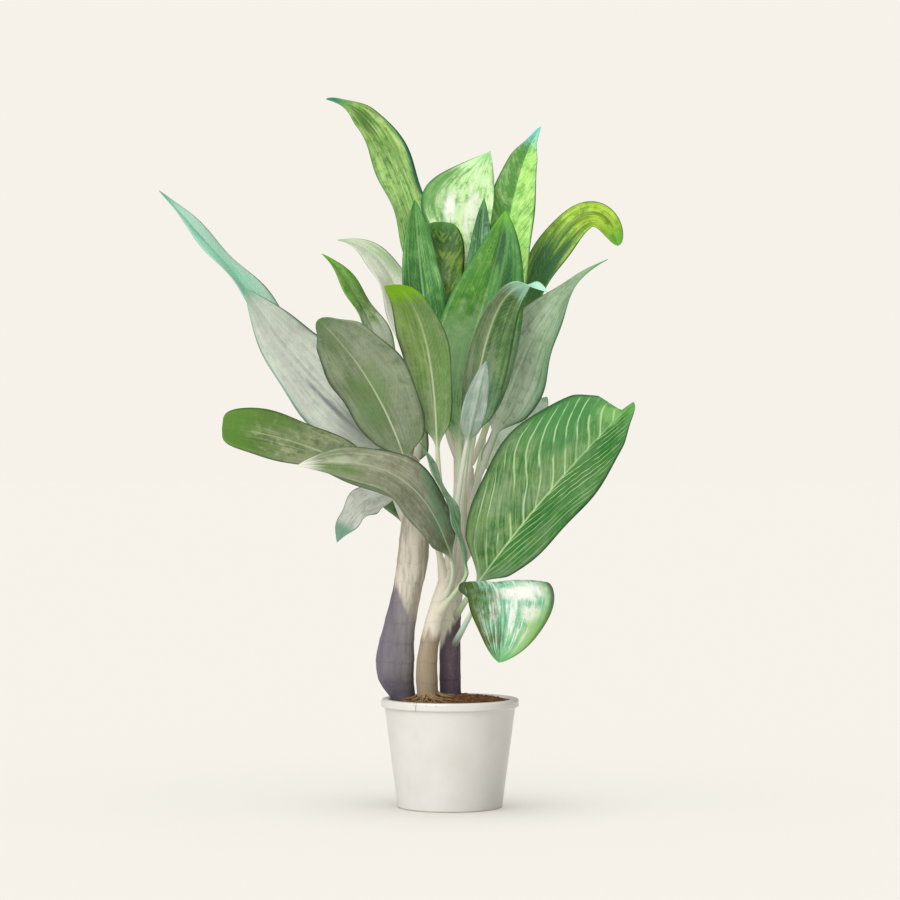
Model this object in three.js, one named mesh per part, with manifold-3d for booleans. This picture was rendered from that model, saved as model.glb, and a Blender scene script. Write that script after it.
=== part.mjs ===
// A potted dieffenbachia: a white glazed pot filled with soil, three ringed canes, and broad leaves on
// sheathed petioles. Each leaf is one solid, petiole and blade together, that ends on the cane it grew from.
//
// Millimetres, +Z up. The origin is the centre of the pot's flat base. The plant's front faces -Y.

import * as THREE from "three";
import { mergeVertices } from "three/addons/utils/BufferGeometryUtils.js";
import Module from "manifold-3d";

const wasm = await Module();
wasm.setup();

// ---- Driving dimensions --------------------------------------------------------------------------------

// Pot.
const POT_HEIGHT = 141;
const POT_BASE_RADIUS = 68.5;
const POT_TOP_RADIUS = 85;
const RIM_RADIUS = 89.5;
const RIM_HEIGHT = 11;
const POT_WALL = 6;
const POT_FLOOR = 9;
const RIM_INNER_RADIUS = 79;
const WALL_TOP_BELOW_RIM = 6;
const POT_SIDES = 36;

// Soil.
const SOIL_EDGE_BELOW_RIM = 3.5;
const SOIL_EDGE_INSET = 3;
const SOIL_MOUND = 8;

// Fits between solids that touch.
const GAP = 0.3;

// Canes.
const CANE_SIDES = 10;
const SCAR_SPACING = 21;
const SCAR_RELIEF = 0.04;

// Leaves.
const PETIOLE_STEPS = 4;
const BLADE_STEPS = 11;
const PETIOLE_ROOT_RADIUS = 5.2;
const PETIOLE_END_RADIUS = 2.9;
const BLADE_THICKNESS = 1.1;
const MARGIN_THICKNESS = 0.8;
const KEEL_DEPTH = 2.2;
const KEEL_AT_TIP = 0.2;
const SHOULDER_START = -0.02;
const SHOULDER = 0.14;
const FINGER_START = 0.84;
const FINGER_END = 0.95;
const RIPPLE_LAG = 0.9;

const COLOURS = {
  glaze: { color: 0xf1f0ec, roughness: 0.35 },
  soil: { color: 0x5a3c26, roughness: 0.95 },
  bark: { color: 0x5d4f56, roughness: 0.8 },
  paleBark: { color: 0x94897a, roughness: 0.8 },
  lime: { color: 0x93bf52, roughness: 0.45 },
  green: { color: 0x4c8a45, roughness: 0.45 },
  olive: { color: 0x6a8a52, roughness: 0.5 },
  dark: { color: 0x336b3c, roughness: 0.45 },
  silver: { color: 0x9fb3a0, roughness: 0.55 },
  mint: { color: 0x7fc4a2, roughness: 0.45 },
};

// ---- Solids --------------------------------------------------------------------------------------------

function solid(geometry) {
  const bare = geometry.clone();
  bare.deleteAttribute("normal");
  bare.deleteAttribute("uv");
  const merged = mergeVertices(bare, 1e-4);
  return new wasm.Manifold(new wasm.Mesh({
    numProp: 3,
    vertProperties: new Float32Array(merged.attributes.position.array),
    triVerts: new Uint32Array(merged.index.array),
  }));
}

function geometryOf(body) {
  const mesh = body.getMesh();
  const geometry = new THREE.BufferGeometry();
  geometry.setAttribute("position", new THREE.BufferAttribute(new Float32Array(mesh.vertProperties), 3));
  geometry.setIndex(new THREE.BufferAttribute(new Uint32Array(mesh.triVerts), 1));
  return geometry;
}

function meshOf(name, body, look) {
  const geometry = geometryOf(body);
  geometry.computeVertexNormals();
  const mesh = new THREE.Mesh(geometry, new THREE.MeshStandardMaterial({ ...COLOURS[look], metalness: 0 }));
  mesh.name = name;
  return mesh;
}

// A closed skin over rings of equal count. Each ring runs counter-clockwise as seen from its front end. The
// first end is closed by a fan round its middle, and so is the last one unless the rings end in an apex.
// split(j) says which way the quad after point j is divided.
function loft(rings, apex, split) {
  const count = rings[0].length;
  const points = rings.flat();
  const faces = [];
  for (let r = 0; r + 1 < rings.length; r++) {
    for (let j = 0; j < count; j++) {
      const a = r * count + j;
      const b = r * count + (j + 1) % count;
      const c = b + count;
      const d = a + count;
      if (split(j)) faces.push(a, b, c, a, c, d);
      else faces.push(a, b, d, b, c, d);
    }
  }
  closeEnd(points, faces, rings[0], 0, true);
  closeEnd(points, faces, rings.at(-1), (rings.length - 1) * count, false, apex);
  const geometry = new THREE.BufferGeometry().setFromPoints(points);
  geometry.setIndex(faces);
  return solid(geometry);
}

function closeEnd(points, faces, ring, first, start, apex) {
  const middle = apex ?? ring.reduce((sum, p) => sum.add(p), new THREE.Vector3()).divideScalar(ring.length);
  const centre = points.push(middle) - 1;
  for (let j = 0; j < ring.length; j++) {
    const a = first + j;
    const b = first + (j + 1) % ring.length;
    if (start) faces.push(centre, b, a);
    else faces.push(centre, a, b);
  }
}

// ---- Pot and soil --------------------------------------------------------------------------------------

function lathe(profile) {
  const points = profile.map(([r, z]) => new THREE.Vector2(r, z));
  const geometry = new THREE.LatheGeometry(points, POT_SIDES);
  geometry.rotateX(Math.PI / 2);
  return solid(geometry);
}

function wallRadius(z) {
  return POT_BASE_RADIUS + (POT_TOP_RADIUS - POT_BASE_RADIUS) * z / (POT_HEIGHT - RIM_HEIGHT);
}

function pot() {
  const rimFoot = POT_HEIGHT - RIM_HEIGHT;
  const innerTop = rimFoot - WALL_TOP_BELOW_RIM;
  return lathe([
    [0, 0],
    [POT_BASE_RADIUS - 2, 0],
    [POT_BASE_RADIUS, 2],
    [POT_TOP_RADIUS, rimFoot],
    [RIM_RADIUS - 1.5, rimFoot + 1],
    [RIM_RADIUS, rimFoot + 3],
    [RIM_RADIUS - 0.3, POT_HEIGHT - 3],
    [RIM_RADIUS - 3, POT_HEIGHT],
    [RIM_INNER_RADIUS + 2.5, POT_HEIGHT],
    [RIM_INNER_RADIUS, POT_HEIGHT - 2.5],
    [wallRadius(innerTop) - POT_WALL, innerTop],
    [wallRadius(POT_FLOOR) - POT_WALL, POT_FLOOR],
    [0, POT_FLOOR],
  ]);
}

function soilBody() {
  const edge = POT_HEIGHT - SOIL_EDGE_BELOW_RIM;
  const innerTop = POT_HEIGHT - RIM_HEIGHT - WALL_TOP_BELOW_RIM;
  const mound = [0.75, 0.5, 0.25].map((s) => {
    return [(RIM_INNER_RADIUS - SOIL_EDGE_INSET) * s, edge + SOIL_MOUND * (1 - s * s)];
  });
  return lathe([
    [0, POT_FLOOR + GAP],
    [wallRadius(POT_FLOOR) - POT_WALL - GAP, POT_FLOOR + GAP],
    [wallRadius(innerTop) - POT_WALL - GAP, innerTop],
    [RIM_INNER_RADIUS - GAP - 0.5, edge],
    ...mound,
    [0, edge + SOIL_MOUND],
  ]);
}

// ---- Canes ---------------------------------------------------------------------------------------------

// Each cane is a run of [x, y, z, radius], from its end in the soil to its tip.
const CANES = {
  left: {
    look: "bark",
    run: [[-54, -4, 72, 11], [-57, -4, 118, 13], [-61, -5, 145, 16], [-70, -6, 172, 23.5],
      [-71, -6, 196, 24.5], [-66, -6, 232, 20.5], [-56, -6, 280, 18.5], [-48, -5, 325, 20],
      [-46, -4, 372, 17], [-47, -2, 456, 4.5]],
  },
  middle: {
    look: "paleBark",
    run: [[-20, -20, 72, 11], [-27, -22, 130, 13], [-30, -23, 170, 14], [-28, -22, 205, 12.5],
      [-18, -17, 250, 11.5], [-2, -9, 300, 11], [10, -3, 345, 10.5], [13, 0, 400, 9], [12, 2, 455, 6.5],
      [10, 4, 500, 4.5]],
  },
  right: {
    look: "bark",
    run: [[4, 14, 72, 12], [1, 14, 130, 13.7], [0, 15, 190, 13.7], [1, 18, 250, 13.5], [8, 26, 300, 11.5],
      [18, 36, 350, 10], [24, 44, 405, 7.5], [26, 48, 445, 5]],
  },
};

function canePoint(run, z) {
  let i = 0;
  while (i + 2 < run.length && z > run[i + 1][2]) i++;
  const [low, high] = [run[i], run[i + 1]];
  const part = (z - low[2]) / (high[2] - low[2]);
  const eased = THREE.MathUtils.clamp(part, 0, 1);
  return low.map((value, k) => value + (high[k] - value) * eased);
}

// Rings lie level. Every second ring is a leaf scar and stands a little proud. extra grows the cane all over.
function cane(run, extra = 0) {
  const [bottom, top] = [run[0][2], run.at(-1)[2]];
  const steps = Math.round((top - bottom) / SCAR_SPACING) * 2;
  const rings = [];
  for (let k = 0; k <= steps; k++) {
    const z = bottom + (top - bottom) * k / steps;
    const [x, y, , r] = canePoint(run, z);
    const relief = k % 2 && k < steps ? 1 + SCAR_RELIEF : 1;
    const level = z + (k === 0 ? -extra : 0) + (k === steps ? extra : 0);
    rings.push(ringAround(x, y, level, r * relief + extra));
  }
  return loft(rings, undefined, () => true);
}

function ringAround(x, y, z, radius) {
  return Array.from({ length: CANE_SIDES }, (_, j) => {
    const angle = 2 * Math.PI * j / CANE_SIDES;
    return new THREE.Vector3(x + radius * Math.cos(angle), y + radius * Math.sin(angle), z);
  });
}

// ---- Leaves --------------------------------------------------------------------------------------------

const ACROSS = [-1, -0.5, 0, 0.5, 1];

// The blade's half width, as a share of its greatest, at t from its base (0) to its tip (1). point draws the
// last stretch in to a finger.
function outline(t, { basePower, tipPower, point }) {
  const widest = basePower / (basePower + tipPower);
  const greatest = widest ** basePower * (1 - widest) ** tipPower;
  const narrowed = 1 - point * THREE.MathUtils.smoothstep(t, FINGER_START, FINGER_END);
  return t ** basePower * (1 - t) ** tipPower / greatest * narrowed;
}

// The leaf's own axes at a point of its midrib: s across the blade, n out of its upper face.
function axesAt(tangent, leaf, t) {
  const lean = THREE.MathUtils.degToRad(leaf.lean);
  const s = new THREE.Vector3(Math.sin(lean), -Math.cos(lean), 0);
  s.addScaledVector(tangent, -s.dot(tangent)).normalize();
  const n = s.clone().cross(tangent);
  const turn = THREE.MathUtils.degToRad(leaf.roll + leaf.twist * t);
  const across = s.clone().multiplyScalar(Math.cos(turn)).addScaledVector(n, Math.sin(turn));
  const out = n.multiplyScalar(Math.cos(turn)).addScaledVector(s, -Math.sin(turn));
  return { across, out };
}

function at(centre, { across, out }, a, b) {
  return centre.clone().addScaledVector(across, a).addScaledVector(out, b);
}

// A round ring with as many points as a blade ring has above and below, started so that they pair up.
function roundRing(centre, axes, radius) {
  const count = 2 * ACROSS.length;
  return Array.from({ length: count }, (_, j) => {
    const angle = Math.PI * (1 - (2 * j + 1) / count);
    return at(centre, axes, radius * Math.cos(angle), radius * Math.sin(angle));
  });
}

function bladeRing(centre, axes, leaf, t) {
  const half = (v) => leaf.width / 2 * outline(t, leaf) * (1 + leaf.skew * Math.sign(v));
  const swing = 2 * Math.PI * leaf.waves * t + leaf.phase;
  const ripple = (v) => leaf.wave * Math.sin(swing + RIPPLE_LAG * v) * v * v * Math.sin(Math.PI * t);
  const rise = (v) => half(v) * (leaf.fold * Math.abs(v) - leaf.curl * v * v) + ripple(v);
  const top = ACROSS.map((v) => at(centre, axes, v * half(v), rise(v) + thickness(v) / 2));
  const bottom = ACROSS.map((v) => {
    const keel = v === 0 ? KEEL_DEPTH * (1 - t) + KEEL_AT_TIP : 0;
    return at(centre, axes, v * half(v), rise(v) - thickness(v) / 2 - keel);
  });
  return [...top, ...bottom.reverse()];
}

function thickness(v) {
  return Math.abs(v) === 1 ? MARGIN_THICKNESS : BLADE_THICKNESS;
}

// Even steps drawn closer together at both ends of the blade.
function closerAtEnds(even) {
  return 0.4 * even + 0.3 * (1 - Math.cos(Math.PI * even));
}

// Petiole and blade as one skin: round rings along the petiole, and blade rings that grow out of them.
function leafBody(leaf) {
  const { root, midrib } = leaf;
  const [base, bend] = midrib;
  const blade = new THREE.CubicBezierCurve3(...midrib);
  const reach = root.distanceTo(base) * leaf.elbow;
  const elbow = base.clone().addScaledVector(bend.clone().sub(base).normalize(), -reach);
  const petiole = new THREE.QuadraticBezierCurve3(root, elbow, base);
  const rings = [];
  for (let k = 0; k < PETIOLE_STEPS; k++) {
    const s = k / PETIOLE_STEPS;
    const radius = PETIOLE_ROOT_RADIUS + (PETIOLE_END_RADIUS - PETIOLE_ROOT_RADIUS) * s;
    rings.push(roundRing(petiole.getPointAt(s), axesAt(petiole.getTangentAt(s), leaf, 0), radius));
  }
  for (let k = 0; k < BLADE_STEPS; k++) {
    const t = closerAtEnds(k / BLADE_STEPS);
    const centre = blade.getPointAt(t);
    const axes = axesAt(blade.getTangentAt(t), leaf, t);
    const round = roundRing(centre, axes, PETIOLE_END_RADIUS * (1 - t));
    const flat = bladeRing(centre, axes, leaf, t);
    const share = THREE.MathUtils.smoothstep(t, SHOULDER_START, SHOULDER);
    rings.push(round.map((point, j) => point.lerp(flat[j], share)));
  }
  return loft(rings, blade.getPointAt(1), splitAlike);
}

// Points 0 to 4 cross the upper face and 5 to 9 come back below it, so quads j and 8 - j lie face to face.
function splitAlike(j) {
  return j < 5 ? j < 2 : j < 7;
}

const PLAIN = {
  roll: 0, twist: 0, fold: 0.22, curl: 0.12, wave: 4, waves: 2.5, phase: 0,
  basePower: 0.55, tipPower: 0.85, point: 0, skew: 0, elbow: 0.5,
};

// Each leaf: name, its cane, the height of its root on it, the blade's midrib from base to tip, its width, the
// compass direction that it leans towards (0 is +X, 90 is the back) and what else sets it apart.
const LEAVES = [
  // Upper crown.
  ["leaf_top_left", "middle", 380,
    [[-14, 74, 622], [-44, 88, 764], [-84, 96, 930], [-165, 72, 928]], 70, 170,
    { look: "lime", roll: 38, wave: 5, waves: 3, tipPower: 0.5, point: 0.6 }],
  ["leaf_under_top_left", "middle", 448, [[-20, 8, 560], [-42, 4, 700], [-46, 14, 792]], 56, 95,
    { look: "dark", fold: 0.5 }],
  ["leaf_top_centre", "middle", 425, [[34, 50, 690], [40, 58, 750], [48, 76, 800], [54, 84, 862]], 96, 90,
    { look: "lime", wave: 6, waves: 2, skew: -0.75, basePower: 1.3, tipPower: 1.1 }],
  ["leaf_under_top_centre", "middle", 480, [[-2, 22, 600], [-14, 30, 690], [-10, 32, 764]], 60, 95,
    { look: "dark", fold: 0.3, tipPower: 0.35, basePower: 0.9 }],
  ["leaf_top_right", "right", 440, [[64, 60, 590], [68, 72, 710], [80, 94, 832], [122, 100, 896]], 74, 75,
    { look: "lime", fold: 0.4, wave: 5, basePower: 0.6, tipPower: 0.8, point: 0.4 }],
  ["leaf_arching_right", "right", 405,
    [[74, 84, 545], [98, 92, 690], [184, 104, 852], [224, 88, 734]], 60, 0,
    { look: "lime", roll: -38, twist: -14, tipPower: 0.5, basePower: 0.9 }],

  // Centre.
  ["leaf_centre_tall", "middle", 390,
    [[12, -16, 472], [10, -20, 600], [62, -14, 680], [72, 0, 776]], 108, 88,
    { look: "green", wave: 5, skew: 0.12 }],
  ["leaf_behind_tall", "middle", 400, [[38, 2, 556], [38, 26, 700], [45, 40, 796]], 44, 80,
    { look: "dark", fold: 0.3, elbow: 0.35 }],
  ["leaf_centre_left", "middle", 325, [[-16, -46, 466], [-21, -100, 666], [-80, -150, 670]], 66, -110,
    { look: "olive", fold: 0.15, tipPower: 0.5, skew: 0.15 }],
  ["leaf_centre_right", "middle", 345,
    [[24, -38, 475], [40, -60, 600], [62, -90, 706], [124, -118, 662]], 54, -95,
    { look: "olive", fold: 0.18, skew: -0.3 }],
  ["leaf_pale_centre", "middle", 300, [[22, -66, 474], [34, -92, 530], [46, -100, 578]], 32, -88,
    { look: "silver", fold: 0.1, wave: 2, elbow: 0.3 }],

  // Right side.
  ["leaf_grey_right", "right", 350, [[56, 20, 480], [90, 14, 570], [118, 4, 668], [206, 0, 712]], 104, 0,
    { look: "silver", roll: -70, twist: 50, basePower: 0.8, tipPower: 1.5 }],
  ["leaf_behind_big", "right", 335, [[62, 56, 420], [92, 66, 495], [130, 90, 535]], 84, 60,
    { look: "silver" }],
  ["leaf_big_right", "right", 235, [[34, -14, 288], [122, -54, 414], [238, -56, 526]], 150, 72,
    { look: "dark", fold: 0.4, tipPower: 0.55, basePower: 0.68, wave: 4, roll: 15, skew: -0.16 }],
  ["leaf_drooping_right", "right", 200, [[32, -34, 262], [78, -98, 352], [62, -116, 194]], 118, -72,
    { look: "mint", fold: 0.15, skew: -0.2, tipPower: 0.75 }],

  // Left side.
  ["leaf_far_left", "left", 365, [[-165, 70, 548], [-306, 78, 728], [-384, 52, 806]], 80, 180,
    { look: "mint", roll: 20 }],
  ["leaf_silver_left", "left", 372, [[-78, 14, 466], [-188, 2, 554], [-266, -12, 674]], 110, 180,
    { look: "silver", roll: 62, elbow: 0.25, basePower: 0.42 }],
  ["leaf_olive_left", "left", 362, [[-56, -38, 448], [-92, -70, 560], [-168, -96, 630]], 112, -112,
    { look: "olive", tipPower: 0.5, point: 0.3 }],
  ["leaf_edge_left", "left", 385, [[-64, -1, 520], [-114, 6, 682], [-168, 12, 720]], 66, 180,
    { look: "green", roll: 28, elbow: 0.3 }],
  ["leaf_ghost_left", "left", 440, [[-42, 74, 560], [-64, 114, 740], [-152, 124, 745]], 66, 160,
    { look: "silver", roll: 30 }],
  ["leaf_long_left", "middle", 288, [[-34, -30, 382], [-150, -56, 478], [-292, -76, 492]], 74, 190,
    { look: "olive", roll: 55, tipPower: 0.25, basePower: 0.8, elbow: 0.2 }],
  ["leaf_brown_left", "middle", 268,
    [[2, -52, 322], [-30, -84, 432], [-89, -104, 460], [-194, -110, 444]], 82, 190,
    { look: "olive", roll: 50, skew: -0.1 }],
  ["leaf_narrow_left", "middle", 250,
    [[22, -58, 308], [14, -64, 362], [-6, -66, 412], [-40, -64, 476]], 46, 200,
    { look: "dark", roll: 30, basePower: 0.7, elbow: 0.15 }],
  ["leaf_drooping_left", "left", 330, [[-68, -2, 400], [-112, 0, 418], [-147, -12, 343]], 50, 180,
    { look: "silver", roll: 50 }],

  // Back, hidden from the front.
  ["leaf_back_high", "right", 398, [[18, 100, 585], [34, 148, 760], [26, 226, 775]], 100, 90,
    { look: "lime" }],
  ["leaf_back_middle", "right", 385, [[46, 104, 490], [60, 180, 640], [70, 265, 600]], 100, 80,
    { look: "green" }],
  ["leaf_back_left", "left", 345, [[-56, 58, 432], [-92, 146, 575], [-136, 236, 560]], 96, 115,
    { look: "olive" }],
  ["leaf_back_right", "right", 315, [[66, 84, 395], [120, 150, 490], [170, 220, 450]], 100, 50,
    { look: "dark" }],
  ["leaf_back_low", "left", 315, [[-60, 34, 366], [-68, 110, 440], [-80, 190, 402]], 88, 120,
    { look: "dark" }],
];

// The four points of a Bezier curve through a midrib, which a leaf's row may give with only one bend.
function handles(points) {
  const midrib = points.map((p) => new THREE.Vector3(...p));
  if (midrib.length === 4) return midrib;
  const [base, bend, tip] = midrib;
  return [base, base.clone().lerp(bend, 2 / 3), tip.clone().lerp(bend, 2 / 3), tip];
}

function leafSpec([name, caneName, rootHeight, midrib, width, lean, rest]) {
  const [x, y] = canePoint(CANES[caneName].run, rootHeight);
  const root = new THREE.Vector3(x, y, rootHeight);
  return { ...PLAIN, ...rest, name, caneName, width, lean, root, midrib: handles(midrib) };
}

// ---- The plant -----------------------------------------------------------------------------------------

function plant() {
  const group = new THREE.Group();
  group.name = "potted_dieffenbachia";
  group.add(meshOf("pot", pot(), "glaze"));

  let soil = soilBody();
  const grown = {};
  for (const [name, { run, look }] of Object.entries(CANES)) {
    grown[name] = cane(run, GAP);
    soil = soil.subtract(grown[name]);
    group.add(meshOf(`cane_${name}`, cane(run), look));
  }
  group.add(meshOf("soil", soil, "soil"));

  for (const row of LEAVES) {
    const leaf = leafSpec(row);
    group.add(meshOf(leaf.name, leafBody(leaf).subtract(grown[leaf.caneName]), leaf.look));
  }
  return group;
}

export default plant();
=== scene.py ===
# %% [markdown]
# # A potted dieffenbachia
# A house plant in a white glazed pot: brown soil, three ringed canes, and broad leaves that each hang on a
# long petiole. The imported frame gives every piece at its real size. This lesson grows a finer piece in the
# place of each one, and gives it the finish that the real thing has. Lengths below are in millimetres unless
# a name says otherwise, and the plant's front faces -Y.

# %% Load the frame
import math
import random

import bmesh
import bpy
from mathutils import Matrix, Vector, noise


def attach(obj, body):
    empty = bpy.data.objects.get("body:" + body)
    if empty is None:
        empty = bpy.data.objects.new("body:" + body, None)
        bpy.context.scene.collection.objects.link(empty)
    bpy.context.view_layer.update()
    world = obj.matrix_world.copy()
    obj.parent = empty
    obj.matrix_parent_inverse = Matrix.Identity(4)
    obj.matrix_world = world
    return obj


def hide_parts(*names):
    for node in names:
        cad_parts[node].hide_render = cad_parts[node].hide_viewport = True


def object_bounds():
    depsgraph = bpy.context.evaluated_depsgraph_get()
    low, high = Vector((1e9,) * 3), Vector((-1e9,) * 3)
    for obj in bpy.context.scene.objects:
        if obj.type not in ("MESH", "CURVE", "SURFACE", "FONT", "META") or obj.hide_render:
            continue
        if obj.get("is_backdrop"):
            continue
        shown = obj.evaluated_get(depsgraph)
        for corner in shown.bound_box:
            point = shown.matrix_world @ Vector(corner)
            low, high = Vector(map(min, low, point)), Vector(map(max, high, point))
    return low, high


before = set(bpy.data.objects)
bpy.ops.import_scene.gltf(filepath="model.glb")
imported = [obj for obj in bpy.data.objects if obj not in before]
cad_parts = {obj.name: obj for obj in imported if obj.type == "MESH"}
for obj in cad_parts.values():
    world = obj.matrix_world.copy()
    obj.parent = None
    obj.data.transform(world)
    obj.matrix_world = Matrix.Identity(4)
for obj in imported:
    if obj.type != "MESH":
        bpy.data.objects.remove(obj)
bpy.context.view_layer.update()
MM = 0.001
CM = 0.01

# %% [markdown]
# ## Camera, floor and light
# The plant was photographed from straight in front, level with its middle, on a pale ground that has no
# horizon, with the light from the left: the pot is white at its left and grey at its right. A curved
# backdrop would block the view from behind, so the ground is a very wide floor under a sky of its own
# colour. Each lamp is told what it lights: a key from the left for the plant, with a glow from the same side
# that passes through the leaves and lifts their shadows, and a soft lamp overhead that keeps the floor even,
# with the pot's shade round its foot.

# %% Camera
PHOTO_SIDE_PX = 900
PHOTO_MM_PER_PX = 1.3
CAMERA_DISTANCE_M = 4.0
CAMERA_HEIGHT_M = 0.4636
SENSOR_MM = 36

camera_data = bpy.data.cameras.new("photo_camera")
camera_data.sensor_width = SENSOR_MM
camera_data.lens = SENSOR_MM * CAMERA_DISTANCE_M / (PHOTO_SIDE_PX * PHOTO_MM_PER_PX * MM)
camera_data.clip_end = 200
camera = bpy.data.objects.new("photo_camera", camera_data)
camera.location = (0, -CAMERA_DISTANCE_M, CAMERA_HEIGHT_M)
camera.rotation_euler = (math.radians(90), 0, 0)
bpy.context.scene.collection.objects.link(camera)
bpy.context.scene.camera = camera
print("camera: lens", round(camera_data.lens, 1), "mm")

# %% Colours
def tint(code):
    """The linear colour of a hex code."""
    parts = [int(code[i:i + 2], 16) / 255 for i in (1, 3, 5)]
    return (*(c / 12.92 if c <= 0.04045 else ((c + 0.055) / 1.055) ** 2.4 for c in parts), 1)

print("colours: white is", tint("#ffffff"))

# %% Floor
GROUND = "#f6f2ea"
FLOOR_SHADE = 0.752
FLOOR_RADIUS_M = 40

def wide_floor():
    material = bpy.data.materials.new("pale_floor")
    material.use_nodes = True
    shader = material.node_tree.nodes["Principled BSDF"]
    shader.inputs["Base Color"].default_value = (FLOOR_SHADE, FLOOR_SHADE, FLOOR_SHADE, 1)
    shader.inputs["Roughness"].default_value = 1
    shader.inputs["Specular IOR Level"].default_value = 0
    mesh = bpy.data.meshes.new("floor")
    shape = bmesh.new()
    bmesh.ops.create_circle(shape, cap_ends=True, segments=96, radius=FLOOR_RADIUS_M)
    shape.to_mesh(mesh)
    shape.free()
    mesh.materials.append(material)
    plane = bpy.data.objects.new("floor", mesh)
    bpy.context.scene.collection.objects.link(plane)
    plane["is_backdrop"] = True
    return plane

floor = wide_floor()
print("floor:", FLOOR_RADIUS_M, "m in radius")

# %% Sky and lamps
SKY_SEEN = 1.0
SKY_LIGHT = 0.35
WARM_WHITE = (1, 0.985, 0.96)
# azimuth (0 shines from the front, -90 from the left), elevation, energy, width in degrees, colour
LAMPS = {
    "key": (-30, 40, 1.7, 40, WARM_WHITE),
    "glow": (-30, 40, 1.1, 40, WARM_WHITE),
    "overhead": (0, 90, 2.86, 110, (1, 0.963, 0.893)),
}

def sky():
    """The sky is seen at full strength, but lights the plant less, so that the key can shape it."""
    world = bpy.data.worlds.new("studio")
    world.use_nodes = True
    nodes, links = world.node_tree.nodes, world.node_tree.links
    lit = nodes["Background"]
    seen = nodes.new("ShaderNodeBackground")
    for background, strength in ((lit, SKY_LIGHT), (seen, SKY_SEEN)):
        background.inputs["Color"].default_value = tint(GROUND)
        background.inputs["Strength"].default_value = strength
    chosen = nodes.new("ShaderNodeMixShader")
    links.new(nodes.new("ShaderNodeLightPath").outputs["Is Camera Ray"], chosen.inputs[0])
    links.new(lit.outputs[0], chosen.inputs[1])
    links.new(seen.outputs[0], chosen.inputs[2])
    links.new(chosen.outputs[0], nodes["World Output"].inputs["Surface"])
    bpy.context.scene.world = world

def lamp(name, azimuth, elevation, energy, spread, colour):
    data = bpy.data.lights.new(name, "SUN")
    data.energy = energy
    data.angle = math.radians(spread)
    data.color = colour
    body = bpy.data.objects.new(name, data)
    a = math.radians(azimuth)
    e = math.radians(elevation)
    towards = Vector((math.sin(a) * math.cos(e), -math.cos(a) * math.cos(e), math.sin(e)))
    body.rotation_euler = towards.to_track_quat("Z", "Y").to_euler()
    bpy.context.scene.collection.objects.link(body)
    return body

def reserve(light, role, things, state="INCLUDE"):
    """Says which things a lamp lights (role receiver) or which of them cast its shadow (role blocker)."""
    group = bpy.data.collections.new(f"{light.name}_{role}")
    for thing in things:
        group.objects.link(thing)
    for entry in group.collection_objects:
        entry.light_linking.link_state = state
    setattr(light.light_linking, f"{role}_collection", group)

sky()
key, glow, overhead = (lamp(name, *facts) for name, facts in LAMPS.items())
reserve(key, "receiver", [floor], "EXCLUDE")
reserve(glow, "receiver", [floor], "EXCLUDE")
reserve(glow, "blocker", [floor])
reserve(overhead, "receiver", [floor])
bpy.context.scene.view_settings.view_transform = "Standard"
bpy.context.scene.view_settings.look = "None"
print("lamps: key and glow for the plant, overhead for the floor")

# %% [markdown]
# ## Writing node trees as sums
# Leaves, canes and finishes all follow formulas. Node trees hold them, because a tree's inputs can be named
# and tried one by one. Placing each Math node by hand makes long scripts, so a small helper lets a sum such
# as `width / 2 * outline` add the nodes that work it out.

# %% Wires and graphs
class Wire:
    """One output of a node. A sum written with wires adds Math nodes, or Vector Math for vectors."""

    def __init__(self, graph, socket):
        self.graph = graph
        self.socket = socket
        self.is_vector = socket.type == "VECTOR"

    def __abs__(self):
        return self.graph.math("ABSOLUTE", self)


def sign(operation, turned):
    """What a sign such as + does to a wire and its other side, which stands first where turned is true."""
    def add_node(wire, other):
        pair = (other, wire) if turned else (wire, other)
        if not wire.is_vector:
            return wire.graph.math(operation, *pair)
        by_number = isinstance(other, (int, float)) or isinstance(other, Wire) and not other.is_vector
        return wire.graph.vector("SCALE" if by_number else operation, *pair)
    return add_node

SIGNS = {"add": "ADD", "sub": "SUBTRACT", "mul": "MULTIPLY", "truediv": "DIVIDE", "pow": "POWER",
         "gt": "GREATER_THAN", "lt": "LESS_THAN"}
for sign_name, operation in SIGNS.items():
    setattr(Wire, f"__{sign_name}__", sign(operation, False))
    setattr(Wire, f"__r{sign_name}__", sign(operation, True))


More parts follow.
